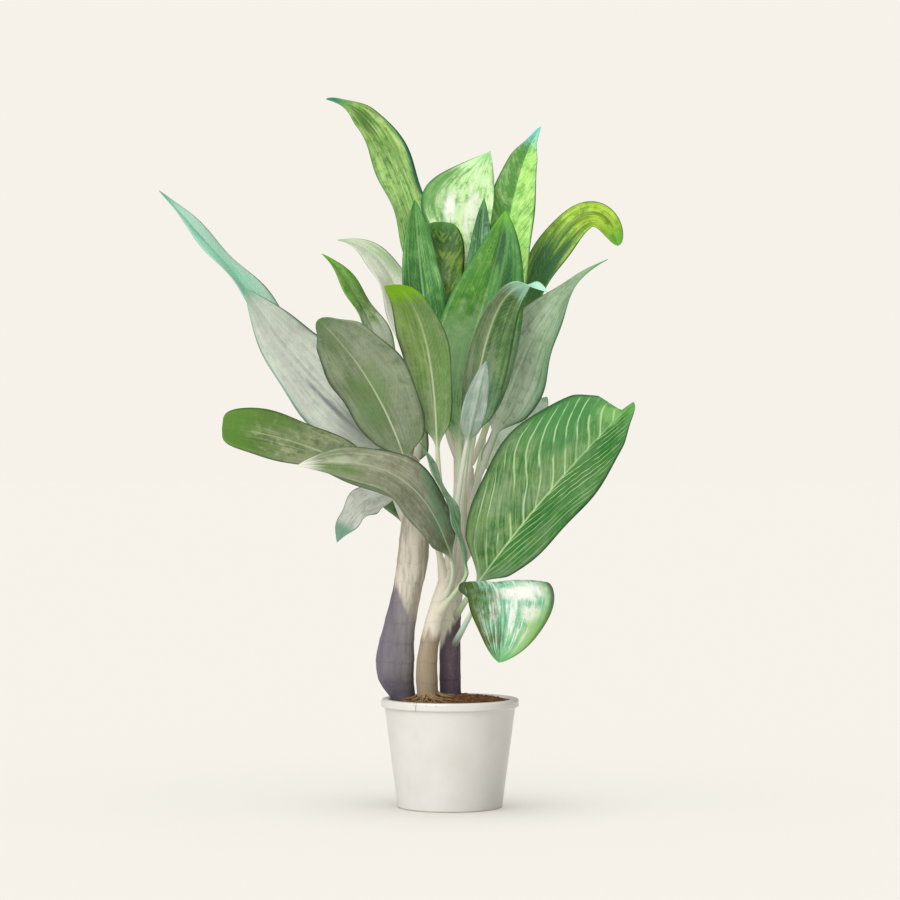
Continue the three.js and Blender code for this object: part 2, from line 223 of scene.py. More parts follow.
class Graph:
    """Adds nodes to a tree. What a node is given is a number, a colour, a vector or a wire."""

    def __init__(self, tree):
        self.tree = tree

    def node(self, kind, values=(), **settings):
        """Adds a node. values fill its open inputs, in order or by name; settings are its own properties."""
        node = self.tree.nodes.new(kind)
        for name, value in settings.items():
            setattr(node, name, value)
        open_sockets = [s for s in node.inputs if s.enabled]
        if isinstance(values, dict):
            named = {s.name: s for s in reversed(open_sockets)}
            pairs = [(named[name], value) for name, value in values.items()]
        else:
            pairs = zip(open_sockets, values)
        for socket, value in pairs:
            if isinstance(value, Wire):
                self.tree.links.new(value.socket, socket)
            else:
                socket.default_value = value
        return node

    def wire(self, kind, values=(), out=None, **settings):
        """Adds a node and returns one of its outputs, by name, or else its first open one."""
        node = self.node(kind, values, **settings)
        found = [s for s in node.outputs if s.enabled and out in (None, s.name)]
        return Wire(self, found[0])

    def geo(self, kind, *values, **settings):
        return self.wire(f"GeometryNode{kind}", *values, **settings)

    def math(self, operation, *values):
        return self.wire("ShaderNodeMath", values, operation=operation)

    def vector(self, operation, *values):
        return self.wire("ShaderNodeVectorMath", values, operation=operation)

    def combine(self, x, y, z):
        return self.wire("ShaderNodeCombineXYZ", (x, y, z))

    def part(self, vector, axis):
        return self.wire("ShaderNodeSeparateXYZ", (vector,), out=axis)

    def smooth(self, value, low, high, to_low=0, to_high=1):
        """An eased step: to_low below low, to_high above high."""
        kind = "SMOOTHSTEP"
        return self.wire("ShaderNodeMapRange", (value, low, high, to_low, to_high), interpolation_type=kind)

    def between(self, share, a, b):
        """a where share is 0, b where it is 1."""
        return a + (b - a) * share

    def cloud(self, place, scale, detail=4, roughness=0.5):
        """Soft noise from 0 to 1 at a place."""
        values = {"Vector": place, "Scale": scale, "Detail": detail, "Roughness": roughness}
        return self.wire("ShaderNodeTexNoise", values, out="Fac")

    def store(self, mesh, name, value):
        """Keeps a number on every point of a mesh, for a finish to read."""
        values = {"Geometry": mesh, "Name": name, "Value": value}
        return self.geo("StoreNamedAttribute", values, data_type="FLOAT", domain="POINT")

print("helpers: wires and graphs")

# %% [markdown]
# ## Growing a mesh with Geometry Nodes
# A tree is a recipe. `grow` runs it once with its named inputs, keeps the mesh that comes out, and takes the
# modifier off again, so that what stays is plain geometry that can be baked or printed.

# %% Geometry trees and how they are run
SOCKETS = {"points": "NodeSocketVector", "numbers": "NodeSocketFloat", "counts": "NodeSocketInt"}

def geometry_tree(name, **inputs):
    """A new tree with a mesh in and out, a material and these inputs. Returns its graph and input wires."""
    tree = bpy.data.node_groups.new(name, "GeometryNodeTree")
    tree.is_modifier = True
    new_socket = tree.interface.new_socket
    for way in ("INPUT", "OUTPUT"):
        new_socket("Geometry", in_out=way, socket_type="NodeSocketGeometry")
    new_socket("Material", in_out="INPUT", socket_type="NodeSocketMaterial")
    for kind, labels in inputs.items():
        for label in labels:
            new_socket(label, in_out="INPUT", socket_type=SOCKETS[kind])
    graph = Graph(tree)
    source = graph.node("NodeGroupInput")
    return graph, {s.name: Wire(graph, s) for s in source.outputs if s.name}

def end_tree(graph, geometry, material):
    """The end of every tree: real geometry, smooth, with its material."""
    real = graph.geo("RealizeInstances", {"Geometry": geometry})
    smooth = graph.geo("SetShadeSmooth", {"Geometry": real, "Shade Smooth": True})
    painted = graph.geo("SetMaterial", {"Geometry": smooth, "Material": material})
    graph.node("NodeGroupOutput", (painted,))
    return graph.tree

def grow(name, tree, values, start=None):
    """Runs a tree on a start mesh and returns an object that holds the plain result."""
    piece = bpy.data.objects.new(name, start or bpy.data.meshes.new(name))
    bpy.context.scene.collection.objects.link(piece)
    modifier = piece.modifiers.new("grow", "NODES")
    modifier.node_group = tree
    for item in tree.interface.items_tree:
        if item.in_out == "INPUT" and item.name in values:
            modifier[item.identifier] = values[item.name]
    depsgraph = bpy.context.evaluated_depsgraph_get()
    mesh = bpy.data.meshes.new_from_object(piece.evaluated_get(depsgraph))
    piece.modifiers.clear()
    piece.data = mesh
    mesh.name = name
    return piece

def settle(piece, slot, *nodes):
    """Hands a finished piece to the frame: it rides on the plant's one body and stands for its nodes."""
    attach(piece, "root")
    if nodes:
        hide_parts(*nodes)

def tally(piece):
    """A piece's triangles, its edges that don't join exactly two faces, and its volume in cm3."""
    shape = bmesh.new()
    shape.from_mesh(piece.data)
    loose = sum(len(edge.link_faces) != 2 for edge in shape.edges)
    volume = shape.calc_volume(signed=True)
    triangles = sum(len(face.verts) - 2 for face in shape.faces)
    shape.free()
    return triangles, loose, round(volume / CM ** 3, 1)

print("helpers: trees and growing")

# %% [markdown]
# ## Finishes
# Every finish here is a Principled shader whose colour, roughness and bump come from patterns. A picture
# texture could give them, but patterns have no seams and stay sharp close up. A pattern that follows a leaf
# reads the numbers that the leaf's own tree stores on it; all others read Object coordinates, which don't
# slide.

# %% A finish and its common parts
def finish(name, **uniform):
    """A new material. uniform sets values that are the same all over, on the shader itself."""
    material = bpy.data.materials.new(name)
    material.use_nodes = True
    graph = Graph(material.node_tree)
    shader = material.node_tree.nodes["Principled BSDF"]
    for label, value in uniform.items():
        shader.inputs[label.replace("_", " ")].default_value = value
    return material, graph, shader

def stored(graph, name):
    """A number that the piece's tree stored on its points."""
    return graph.wire("ShaderNodeAttribute", out="Fac", attribute_name=name)

def object_place(graph):
    return graph.wire("ShaderNodeTexCoord", out="Object")

def layers(graph, colour, *coats):
    """Lays tints over a colour in turn. Each is a share and a tint: none of it shows at 0, only it at 1."""
    for share, over in coats:
        over = tint(over) if isinstance(over, str) else over
        colour = graph.wire("ShaderNodeMix", (share, colour, over), out="Result", data_type="RGBA")
    return colour

def dress(graph, shader, colour, rough, height, depth, strength=0.6):
    """Links a finish's colour, roughness and bump. depth is how deep the bump is, in metres."""
    bump = graph.wire("ShaderNodeBump", {"Strength": strength, "Distance": depth, "Height": height})
    for label, value in {"Base Color": colour, "Roughness": rough, "Normal": bump}.items():
        graph.tree.links.new(value.socket, shader.inputs[label])

print("helpers: finishes")

# %% [markdown]
# ## Leaf finish
# No two leaves of this plant are coloured alike: the young ones at the top are lime with dark streaks, the
# old ones below are olive or washed with grey, and the big one at the right shows pale side veins. Painting
# each leaf by hand would be slow and would need pictures. Instead one function turns a short list of tints
# into a finish, and reads where on the leaf a point is: how far along, how far across, which side vein is
# next to it, and whether it is underneath. Six looks hold what the leaves share, and each leaf changes what
# sets it apart; on some leaves that includes painted shade and painted light.

# %% The six looks
TINTS = ("low", "blade", "high", "deep", "pale", "vein", "under", "edge", "tip", "stalk")

def tints(codes):
    """The first few of TINTS, or all of them, from a row of hex codes."""
    return dict(zip(TINTS, codes.split()))

# low, blade and high are the tints near the petiole, in the middle and near the tip. deep and pale streak
# them, as strongly as shade and flecks say. lines and midrib are how plain the side veins and the midrib
# show.
LOOKS = {
    "lime": dict(
        tints("#86b85c #93c562 #8cc45a #3f7f36 #cfe6a0 #c9e4a4 #9fc97a #2c8c74 #2f8f6c #c3d9a8"),
        flecks=0.5, shade=0.6, lines=0.08, midrib=0.3),
    "green": dict(
        tints("#7f9f6c #558f3c #5c9a3c #35722f #a6cc84 #b8d8a4 #86b87c #4f8f4a #6db835 #cfdcbc"),
        flecks=0.4, shade=0.45, lines=0.08, midrib=0.4),
    "olive": dict(
        tints("#7d8f68 #74905a #688c46 #4d6f3a #a3b08a #c3d0aa #8ba57c #4c7a4c #6d9f2c #d9dcc8"),
        flecks=0.35, shade=0.4, lines=0.06, midrib=0.75),
    "dark": dict(
        tints("#4a7a44 #417a40 #3f7a42 #27582e #86b37c #a9cf9c #79a778 #4a6a3c #4a8a40 #c6d4b4"),
        flecks=0.4, shade=0.5, lines=0.15, midrib=0.6),
    "silver": dict(
        tints("#93a08c #a4b09e #9db29a #7c8c7a #d3d9cf #cdd8c8 #b3bfb0 #7fa08c #7fae90 #e0e0d4"),
        flecks=0.5, shade=0.45, lines=0.05, midrib=0.35),
    "mint": dict(
        tints("#86ae94 #84c4a2 #8ed4ae #469680 #e0f2e2 #d4ecd6 #9ccfb0 #4f8a6c #62b88c #c8dcc6"),
        flecks=0.6, shade=0.6, lines=0.05, midrib=0.2),
}
PLAIN_COAT = dict(
    run="along", dash=1.7, streaks=5.5, hair=1, mottle=0.5, half=None, spots=(), wash=0.35, grey="#b9beb0",
    left=None, right=None, edge_start=0.94, tip_start=0.88, under_share=0.6, clasp="#d3cdbf",
    vein_spacing=8, vein_sweep=1.3, vein_lag=0, vein_width=0.6, wander=0.8, pleat=0.25)

print("looks:", ", ".join(LOOKS))

# %% [markdown]
# What sets one leaf apart: `half` is a tint over one side of the midrib (1 or -1 is the side, then its
# share), on some leaves their own second tone and on a folded leaf painted shade of the half turned from the
# light, `left` and `right` are margins of their own on sides -1 and 1, `spots` are blotches of a tint at a
# place across and along, with their own width, length and share, and `run` says whether streaks follow the
# leaf or its veins. Some tints and spots are painted light, paler where a leaf lies in shade.

# %% What each leaf changes
COATS = {
    "top_left": dict(
        tints("#b4e48c #b4ea8a #86b850 #3f6f2c #dbf0a4"), shade=0.65, right="#1f7f6a", left="#4f8a4a",
        edge_start=0.8, midrib=0.08, spots=[("#3f6f2c", -0.1, 0.84, 0.45, 0.08, 0.75),
        ("#4d7f38", 0.3, 0.68, 0.3, 0.08, 0.5), ("#1f6f5c", 0.95, 0.6, 0.2, 0.15, 0.9),
        ("#2a7a62", 0, 1, 1, 0.06, 0.9)], dash=4.5, mottle=0.55, wash=0),
    "under_top_left": dict(
        tints("#4a7a44 #44803f #4c8c3c #2a6a28 #8cc074"), flecks=0.7, midrib=0.8, right="#a9d29e",
        left="#4c8a4a", wash=0, mottle=0.4),
    "top_centre": dict(
        tints("#cfe6b4 #c4eea8 #c2f2a8 #4f8f42 #e2f5cc"), left="#2a7d5e", right="#6fb070", edge_start=0.92,
        midrib=0, wash=0, tip="#8ed890", spots=[("#f6faf0", -0.54, 0.52, 0.12, 0.12, 1),
        ("#eef6e4", -0.2, 0.53, 0.13, 0.12, 0.9), ("#f2f5ea", -0.28, 0.38, 0.05, 0.1, 0.9),
        ("#569642", -0.88, 0.64, 0.27, 0.22, 0.85)], dash=3, mottle=0.65),
    # top_right's dark half is painted shade, on the folded half turned from the light.
    "top_right": dict(
        tints("#93cc6a #a9e474 #a4e070 #4f8a34 #d2f4a0"), run="veins", half=(-1, "#3f7d36", 0.92),
        tip="#6fd0cc", tip_start=0.86, left="#357a50", right="#3f9a72", midrib=0.1, mottle=0.45, wash=0),
    "arching_right": dict(
        tints("#3a6c40 #3f7a3a #acdc3e #5c7616 #cce462"), shade=0.8, edge="#3f9474", tip="#5fae3c",
        midrib=0.05, spots=[("#66740c", 0.1, 0.79, 0.3, 0.05, 0.5),
        ("#5a6a10", -0.2, 0.88, 0.3, 0.045, 0.4), ("#2c5c36", 0.1, 0.53, 1.2, 0.17, 0.95),
        ("#3a6c40", 0, 0.4, 1.2, 0.14, 0.8)], mottle=0.7, wash=0, flecks=0.35),
    "under_top_centre": dict(
        tints("#5c9040 #46782e #3a642c #264e24 #93b048"), run="veins", flecks=0.75, lines=0, midrib=0,
        edge="#2a5426", mottle=0.3),
    "behind_tall": dict(tints("#5a9458 #3f8240 #2a6030 #285e3c #a6cfae"), midrib=0.9, flecks=0.2, wash=0.1),
    "centre_tall": dict(
        tints("#98b48e #47881f #488430 #357530 #84ba56"), flecks=0.25, half=(1, "#3f8450", 0.45),
        midrib=0.3, right="#86c08e", mottle=0.6, dash=2.4, spots=[("#1c5228", 0.12, 0.84, 0.3, 0.12, 0.95),
        ("#1c5228", 0.45, 0.72, 0.22, 0.12, 0.9), ("#98b48e", 0, 0.4, 1.8, 0.2, 0.5)], wash=0),
    "centre_left": dict(
        tints("#859c72 #7d9c53 #6f9c1e #53793a #a3b784"), half=(-1, "#557f3a", 0.6), midrib=0.85,
        tip="#8acb00", tip_start=0.78, under_share=0.08, lines=0.2, mottle=0.45),
    # centre_right's pale cyan tip is a painted highlight on its folded tip.
    "centre_right": dict(
        tints("#6a967a #42702f #335e20 #2c5220 #86a070"), half=(1, "#6b7a5a", 0.8), midrib=0.8,
        tip="#b8eed4", tip_start=0.76, edge="#6f9a5c", under_share=0.08, lines=0.15, mottle=0.45),
    "pale_centre": dict(tints("#7d9884 #8ba092 #97a99e #7a9486 #c6d2ca"), under_share=0.08),
    "olive_left": dict(
        tints("#6f8060 #838f74 #7d8c72 #566f46 #98a288"), midrib=0.85, edge="#3f7040", tip="#5a8048",
        wash=0.5, grey="#8f9384", under_share=0.08, mottle=0.6, lines=0.15,
        spots=[("#55793d", 0.4, 0.4, 0.5, 0.24, 0.7), ("#5f7a45", 0.3, 0.84, 0.5, 0.1, 0.5),
        ("#a3aa96", -0.5, 0.62, 0.4, 0.2, 0.4), ("#6d8a55", -0.1, 0.5, 0.4, 0.14, 0.6)]),
    # grey_right's pale low tint is painted light where its base lies in shade.
    "grey_right": dict(
        tints("#d5e0cd #a9bda0 #86ae86 #5f7a58 #acbca4"), wash=0.6, half=(1, "#6f9a74", 0.25),
        right="#2f7a44", tip="#3f9a62", grey="#bcc4b4", left="#9fb596", edge_start=0.62),
    # behind_big's near-white tints are painted light: the leaf lies in shade behind big_right and grey_right.
    "behind_big": dict(tints("#dfe9e0 #dfe9e0 #c2d4c0 #a8bca4 #dfe8dc"), flecks=0.8),
    "big_right": dict(
        tints("#688c50 #62884c #368032 #1f6224 #8eae74"), lines=0.72, half=(1, "#2c6c26", 0.85), midrib=0.7,
        vein="#b8d8a0", right="#5c5236", edge="#3f7a3c", edge_start=0.965, tip="#5f9f48", run="veins",
        shade=0.9, wash=0.5, vein_spacing=26, vein_sweep=1.2, pleat=0.8, grey="#8c9c80",
        spots=[("#2a7830", -0.7, 0.8, 0.5, 0.24, 0.8), ("#86bc62", -0.2, 0.9, 0.4, 0.05, 0.5)],
        vein_lag=2.4, wander=1.8, mottle=0.4, vein_width=1.9, clasp="#8d8478"),
    # drooping_right's dark purple clasp is painted shade where its sheath meets the right cane.
    "drooping_right": dict(
        tints("#5f9a6c #82c8a0 #7fc484 #4a9a88 #f0f5ec"), flecks=0.9, shade=0.9, left="#7fae5e",
        right="#3c5618", edge_start=0.62, wash=0, spots=[("#f4f4ec", -0.4, 0.48, 0.5, 0.07, 0.95),
        ("#f4f4ec", -0.6, 0.64, 0.22, 0.07, 0.9), ("#f4f4ec", 0.25, 0.62, 0.08, 0.13, 0.8),
        ("#a0d27c", -0.9, 0.8, 0.5, 0.2, 0.8), ("#4f6426", 1.35, 0.66, 1.15, 0.6, 1)], under_share=0.05,
        mottle=0.3, tip="#5fae62", clasp="#6a5c64"),
    "far_left": dict(
        tints("#97bea6 #a6f0d2 #c2fde6 #66bfa4 #dcf4e2"), shade=0.5, mottle=0, hair=0.1, streaks=0.6,
        wash=0.1),
    "silver_left": dict(
        tints("#b4bdb0 #cbd3c7 #c0d0bc #aeb2b2 #dde2da"), wash=0.6, grey="#d6d8d0", left="#86b09f",
        edge_start=0.84, spots=[("#77787e", -0.2, 0.34, 0.08, 0.16, 0.8),
        ("#8d9490", -0.1, 0.18, 0.5, 0.12, 0.6)], shade=0.3),
    "ghost_left": dict(
        tints("#d6d6cc #dadbd0 #c6d4b8 #bcc4b2 #eeece4"), vein="#eceae2", edge="#b4c4a8", tip="#a8c498",
        under="#dcdcd2", wash=0.5, grey="#e6e4dc", spots=[("#98c088", 0.6, 0.72, 0.5, 0.16, 0.7)]),
    # edge_left's pale band is partly its own colour and partly painted light, made paler where the leaf faces
    # from the lamps.
    "edge_left": dict(
        tints("#b7c2a8 #66923e #74b43a #447026 #a4c87c"), edge="#5c9a3c",
        spots=[("#dfe6d4", 0.1, 0.4, 1.5, 0.17, 0.9)], hair=0.3, streaks=1.8),
    "long_left": dict(
        tints("#c2cab4 #86916c #55782f #5a6c44 #a9ae8e"), tip="#55822a", tip_start=0.8, edge="#587a3c",
        wash=0.55, grey="#989a86", spots=[("#527a2c", 0.7, 0.8, 0.4, 0.14, 0.7)], mottle=0.8),
    "brown_left": dict(
        tints("#6f765f #8e917c #788a62 #66704f #b6b5a2"), right="#5f9c84", wash=0.6, grey="#a5a596",
        spots=[("#4f7a30", -0.4, 0.8, 0.35, 0.09, 0.55), ("#7a9c7c", 0.8, 0.36, 0.3, 0.07, 0.85),
        ("#7a9c7c", 0.4, 0.28, 0.35, 0.07, 0.85), ("#7a9c7c", 0.1, 0.19, 0.5, 0.08, 0.85),
        ("#c4cdb6", 0.15, 0.79, 0.3, 0.07, 0.45)], tip="#e6e8dc", tip_start=0.87),
    "narrow_left": dict(tints("#66a078 #86b48c #84a48a #34644a #b4ccba"), flecks=0.7),
    # drooping_left's pale tints are partly its grey wash and partly painted light, as it lies in shade.
    "drooping_left": dict(
        tints("#d6dcd4 #dde2d9 #b4c6b8 #858b8a #d6d8d2"), tip="#5c937a", tip_start=0.72, wash=0.6,
        grey="#c6c8c2"),
}

print("coats of their own:", len(COATS))

# %% The leaf finish
STREAK_LANE = 9
LEAF_BUMP_M = 0.0004
MIDRIB_HALF_WIDTHS_M = (0.0005, 0.0019)
LEAF_NOTES = ("along", "across", "below", "vein", "rib", "seed")

def coat_of(name, look):
    """A leaf's own coat over its look, with every hex code made a colour."""
    coat = {**PLAIN_COAT, **LOOKS[look], **COATS.get(name, {})}
    coat["left"] = coat["left"] or coat["edge"]
    coat["right"] = coat["right"] or coat["edge"]
    return {key: tint(value) if str(value).startswith("#") else value for key, value in coat.items()}

def streak_runs(graph, coat, along, across, vein, seed, below):
    """Where noise is read: drawn out along the leaf or its side veins, and elsewhere for each leaf."""
    outward = abs(across)
    other_side = seed * 3.7 + below * 5
    if coat["run"] == "veins":
        lane = vein * (coat["vein_spacing"] / STREAK_LANE)
        return (graph.combine(lane, outward * 1.6 + along * 1.2, other_side),
                graph.combine(lane * 5, outward * 2.2, seed))
    length = along * coat["dash"]
    return (graph.combine(across * coat["streaks"], length - outward * 0.4, other_side),
            graph.combine(across * (coat["streaks"] * 3), length * 1.6 - outward * 0.6, seed))

def blotches(graph, coat, along, across, warp):
    """Soft patches of other tints: the place across and along, half width, half length and share of each."""
    for code, v, t, wide, long_side, share in coat["spots"]:
        reach = graph.combine((across - v) / wide, (along - t) / long_side, 0)
        away = graph.vector("LENGTH", reach) + warp
        yield graph.smooth(away, 0.35, 1.3, share, 0), code

def leaf_finish(name, coat):
    material, graph, shader = finish(f"{name}_finish", Specular_IOR_Level=0.24, Coat_Weight=0.05,
                                     Coat_Roughness=0.4)
    along, across, below, vein, rib, seed = (stored(graph, note) for note in LEAF_NOTES)
    outward = abs(across)
    cloud, smooth, combine = graph.cloud, graph.smooth, graph.combine
    streak_run, hair_run = streak_runs(graph, coat, along, across, vein, seed, below)
    leaf_place = combine(across * 1.5, along * 3.2, seed * 2.3)
    streak = cloud(streak_run, 1.6, 5, 0.64)
    hair = cloud(hair_run, 1.3, 3, 0.6)
    patch = cloud(leaf_place, 1.4, 4, 0.6)
    wash = cloud(leaf_place + (9, 4, 2), 1.1, 5, 0.6)
    place = object_place(graph)
    grain = cloud(place, 420, 3)
    mottle = cloud(place, 75, 4, 0.68)

    # The leaf's own three tints, and the side of it that has another tint, where pale streaks are fewer: on
    # some leaves a second tone, on a folded one painted shade.
    colour = layers(graph, coat["low"],
                    (smooth(along + (patch - 0.5) * 0.25, 0.04, 0.45), coat["blade"]),
                    (smooth(along + (patch - 0.5) * 0.3, 0.5, 0.95), coat["high"]))
    even = 1
    if coat["half"]:
        side, code, share = coat["half"]
        over = smooth(across * side + (streak - 0.5) * 0.12, -0.03, 0.07) * share
        even = 1 - over * 0.55
        colour = layers(graph, colour, (over, code))

    # Streaks, hairlines, mottles, the grey wash of an old leaf, and its blotches.
    fading = smooth(along, 0.15, 0.8, 1, 0.35)
    warp = (patch - 0.5) * 1.2 + (streak - 0.5) * 2 + (mottle - 0.5) * 1.6
    colour = layers(
        graph, colour,
        (smooth(streak + (patch - 0.5) * 0.4, 0.5, 0.63) * coat["flecks"] * even, coat["pale"]),
        (smooth(1 - streak + (0.5 - patch) * 0.6, 0.5, 0.66) * coat["shade"], coat["deep"]),
        (smooth(hair, 0.5, 0.66) * 0.5 * coat["hair"], coat["deep"]),
        (smooth(hair, 0.46, 0.32) * 0.4 * even * coat["hair"], coat["pale"]),
        (smooth(mottle, 0.5, 0.66) * coat["mottle"], coat["deep"]),
        (smooth(mottle, 0.48, 0.34) * coat["mottle"] * 0.7 * even, coat["pale"]),
        (smooth(wash, 0.44, 0.68) * fading * coat["wash"], coat["grey"]),
        *blotches(graph, coat, along, across, warp))

    # Side veins lie at whole numbers of the vein count. They wander a little and fade in and out.
    wander = cloud(combine(along * 3, across * 0.9, seed + 8), 1, 1) - 0.5
    off_vein = graph.math("PINGPONG", vein + wander * coat["wander"], 0.5) * coat["vein_spacing"]
    seen = cloud(combine(vein * 0.8, outward * 2.5, seed + 4), 1.6, 3)
    thick = (0.4 + streak * 0.8) * coat["vein_width"]
    inner = smooth(outward, 0.8, 0.98, 1, 0) * smooth(along, 0.02, 0.12)
    line = smooth(off_vein / thick, 0.3, 2, 1, 0) * inner * smooth(seen, 0.36, 0.56, 0.12, 1)

    # The underside is paler and quieter. The midrib narrows to the tip. Margins are thin, or broad and
    # mottled where edge_start is low. The petiole is pale, with fine lines up it, and paler still where its
    # sheath holds the cane.
    midrib = smooth(rib, *MIDRIB_HALF_WIDTHS_M, 1, 0) * smooth(along, 0.2, 0.95, 1, 0.3)
    margin = smooth(outward + (streak - 0.5) * (1 - coat["edge_start"]) * 2, coat["edge_start"], 1)
    sided = layers(graph, coat["left"], (across > 0, coat["right"]))
    ending = smooth(along + (streak - 0.5) * 0.2, coat["tip_start"], coat["tip_start"] + 0.12)
    stalk_streak = cloud(combine(across * 9, along * 1.5, seed), 2, 4)
    stalk = layers(graph, coat["stalk"],
                   (smooth(stalk_streak, 0.35, 0.7) * 0.55, coat["under"]),
                   (smooth(along, -0.9, -0.45, 0.95, 0), coat["clasp"]),
                   (smooth(hair, 0.55, 0.75) * 0.3, "#a59c88"))
    colour = layers(graph, colour,
                    (line * coat["lines"], coat["vein"]),
                    (below * coat["under_share"], coat["under"]),
                    (midrib * coat["midrib"], coat["vein"]),
                    (margin * 0.7, sided),
                    (ending * 0.85, coat["tip"]),
                    (smooth(along, -0.04, 0.09, 1, 0), stalk))

    rough = 0.42 + grain * 0.14 + patch * 0.12
    height = hair * 0.4 * coat["hair"] + patch * 0.3 - line * 0.5 - midrib * 0.5
    dress(graph, shader, colour, rough, height, LEAF_BUMP_M)
    return material

print("helper: leaf finish")

# %% [markdown]
# ## Leaf shape
# A leaf is one growth: a round petiole that leaves the cane and flattens into a thin blade, which folds a
# little along its midrib, curls down at the sides and ripples at the margin. It could be sculpted, but 29
# leaves with one rule between them suit Geometry Nodes. The tree lays a grid along two curves, petiole and
# blade, and wraps it round them: the grid's long side runs from root to tip, and its short side once round
# the leaf, so the skin is closed. Side veins are pressed into the blade as real relief, which catches the
# light at an angle.

# %% The leaf tree
PETIOLE_SHARE = 0.2
RING_STEPS = 48
CURVE_STEPS = 96
PETIOLE_ROOT_RADIUS = 5.2
PETIOLE_END_RADIUS = 2.9
SHEATH_SHARE = 0.42
FLAT_TOP = 0.35
BLADE_THICKNESS = 0.9
KEEL_DEPTH = 2.2
KEEL_WIDTH = 2.6
TIP_KEEL_DEPTH = 0.2
TIP_KEEL_WIDTH = 0.8
GROOVE_DEPTH = 0.5
GROOVE_WIDTH = 1.3
SHOULDER = 0.14
CREASE_SOFTNESS = 0.0015
CREASE_DROP = 0.035
DRAWN_IN = 1.6
RIPPLE_LAG = 0.9
NARROWING = (0.84, 0.95)
NOTCH = (0.915, 0.945)
MERGE_DISTANCE = 0.02
LEAF_POINTS = ("Root", "Base", "First bend", "Second bend", "Tip")
LEAF_NUMBERS = ("Elbow", "Width", "Lean", "Roll", "Twist", "Fold", "Curl", "Wave", "Waves", "Base power",
                "Tip power", "Point", "Skew", "Vein spacing", "Vein sweep", "Vein lag", "Notch", "Sheath",
                "Pleat", "Seed")

def leaf_curves(graph, given):
    """Petiole and blade as two smooth curves."""
    forward = graph.vector("NORMALIZE", given["First bend"] - given["Base"])
    reach = graph.vector("DISTANCE", given["Root"], given["Base"]) * given["Elbow"]
    petiole = graph.geo("CurveQuadraticBezier", {
        "Resolution": CURVE_STEPS, "Start": given["Root"], "Middle": given["Base"] - forward * reach,
        "End": given["Base"]})
    blade = graph.geo("CurvePrimitiveBezierSegment", {
        "Resolution": CURVE_STEPS, "Start": given["Base"], "Start Handle": given["First bend"],
        "End Handle": given["Second bend"], "End": given["Tip"]}, mode="POSITION")
    return petiole, blade

def at_share(graph, curve, share, out):
    """The Position or Tangent of a curve at a share of its length."""
    return graph.geo("SampleCurve", {"Curves": curve, "Factor": share}, out, mode="FACTOR")

def leaf_axes(graph, given, tangent, t):
    """The leaf's own axes at a point of its midrib: across the blade, and out of its upper face."""
    lean = graph.math("RADIANS", given["Lean"])
    level = graph.combine(graph.math("SINE", lean), graph.math("COSINE", lean) * -1, 0)
    side = graph.vector("NORMALIZE", level - tangent * graph.vector("DOT_PRODUCT", level, tangent))
    up = graph.vector("CROSS_PRODUCT", side, tangent)
    turn = graph.math("RADIANS", given["Roll"] + given["Twist"] * t)
    sine = graph.math("SINE", turn)
    cosine = graph.math("COSINE", turn)
    return side * cosine + up * sine, up * cosine - side * sine

def leaf_outline(graph, t, base_power, tip_power, point):
    """The blade's half width as a share of its greatest, from its base at t = 0 to its tip at t = 1."""
    widest = base_power / (base_power + tip_power)
    greatest = widest ** base_power * (1 - widest) ** tip_power
    narrowed = 1 - point * graph.smooth(t, *NARROWING)
    return t ** base_power * (1 - t) ** tip_power / greatest * narrowed

def hump(graph, value, width):
    """A bell of height 1 and this width, round value = 0."""
    scaled = value / width
    return graph.math("EXPONENT", scaled * scaled * -1)

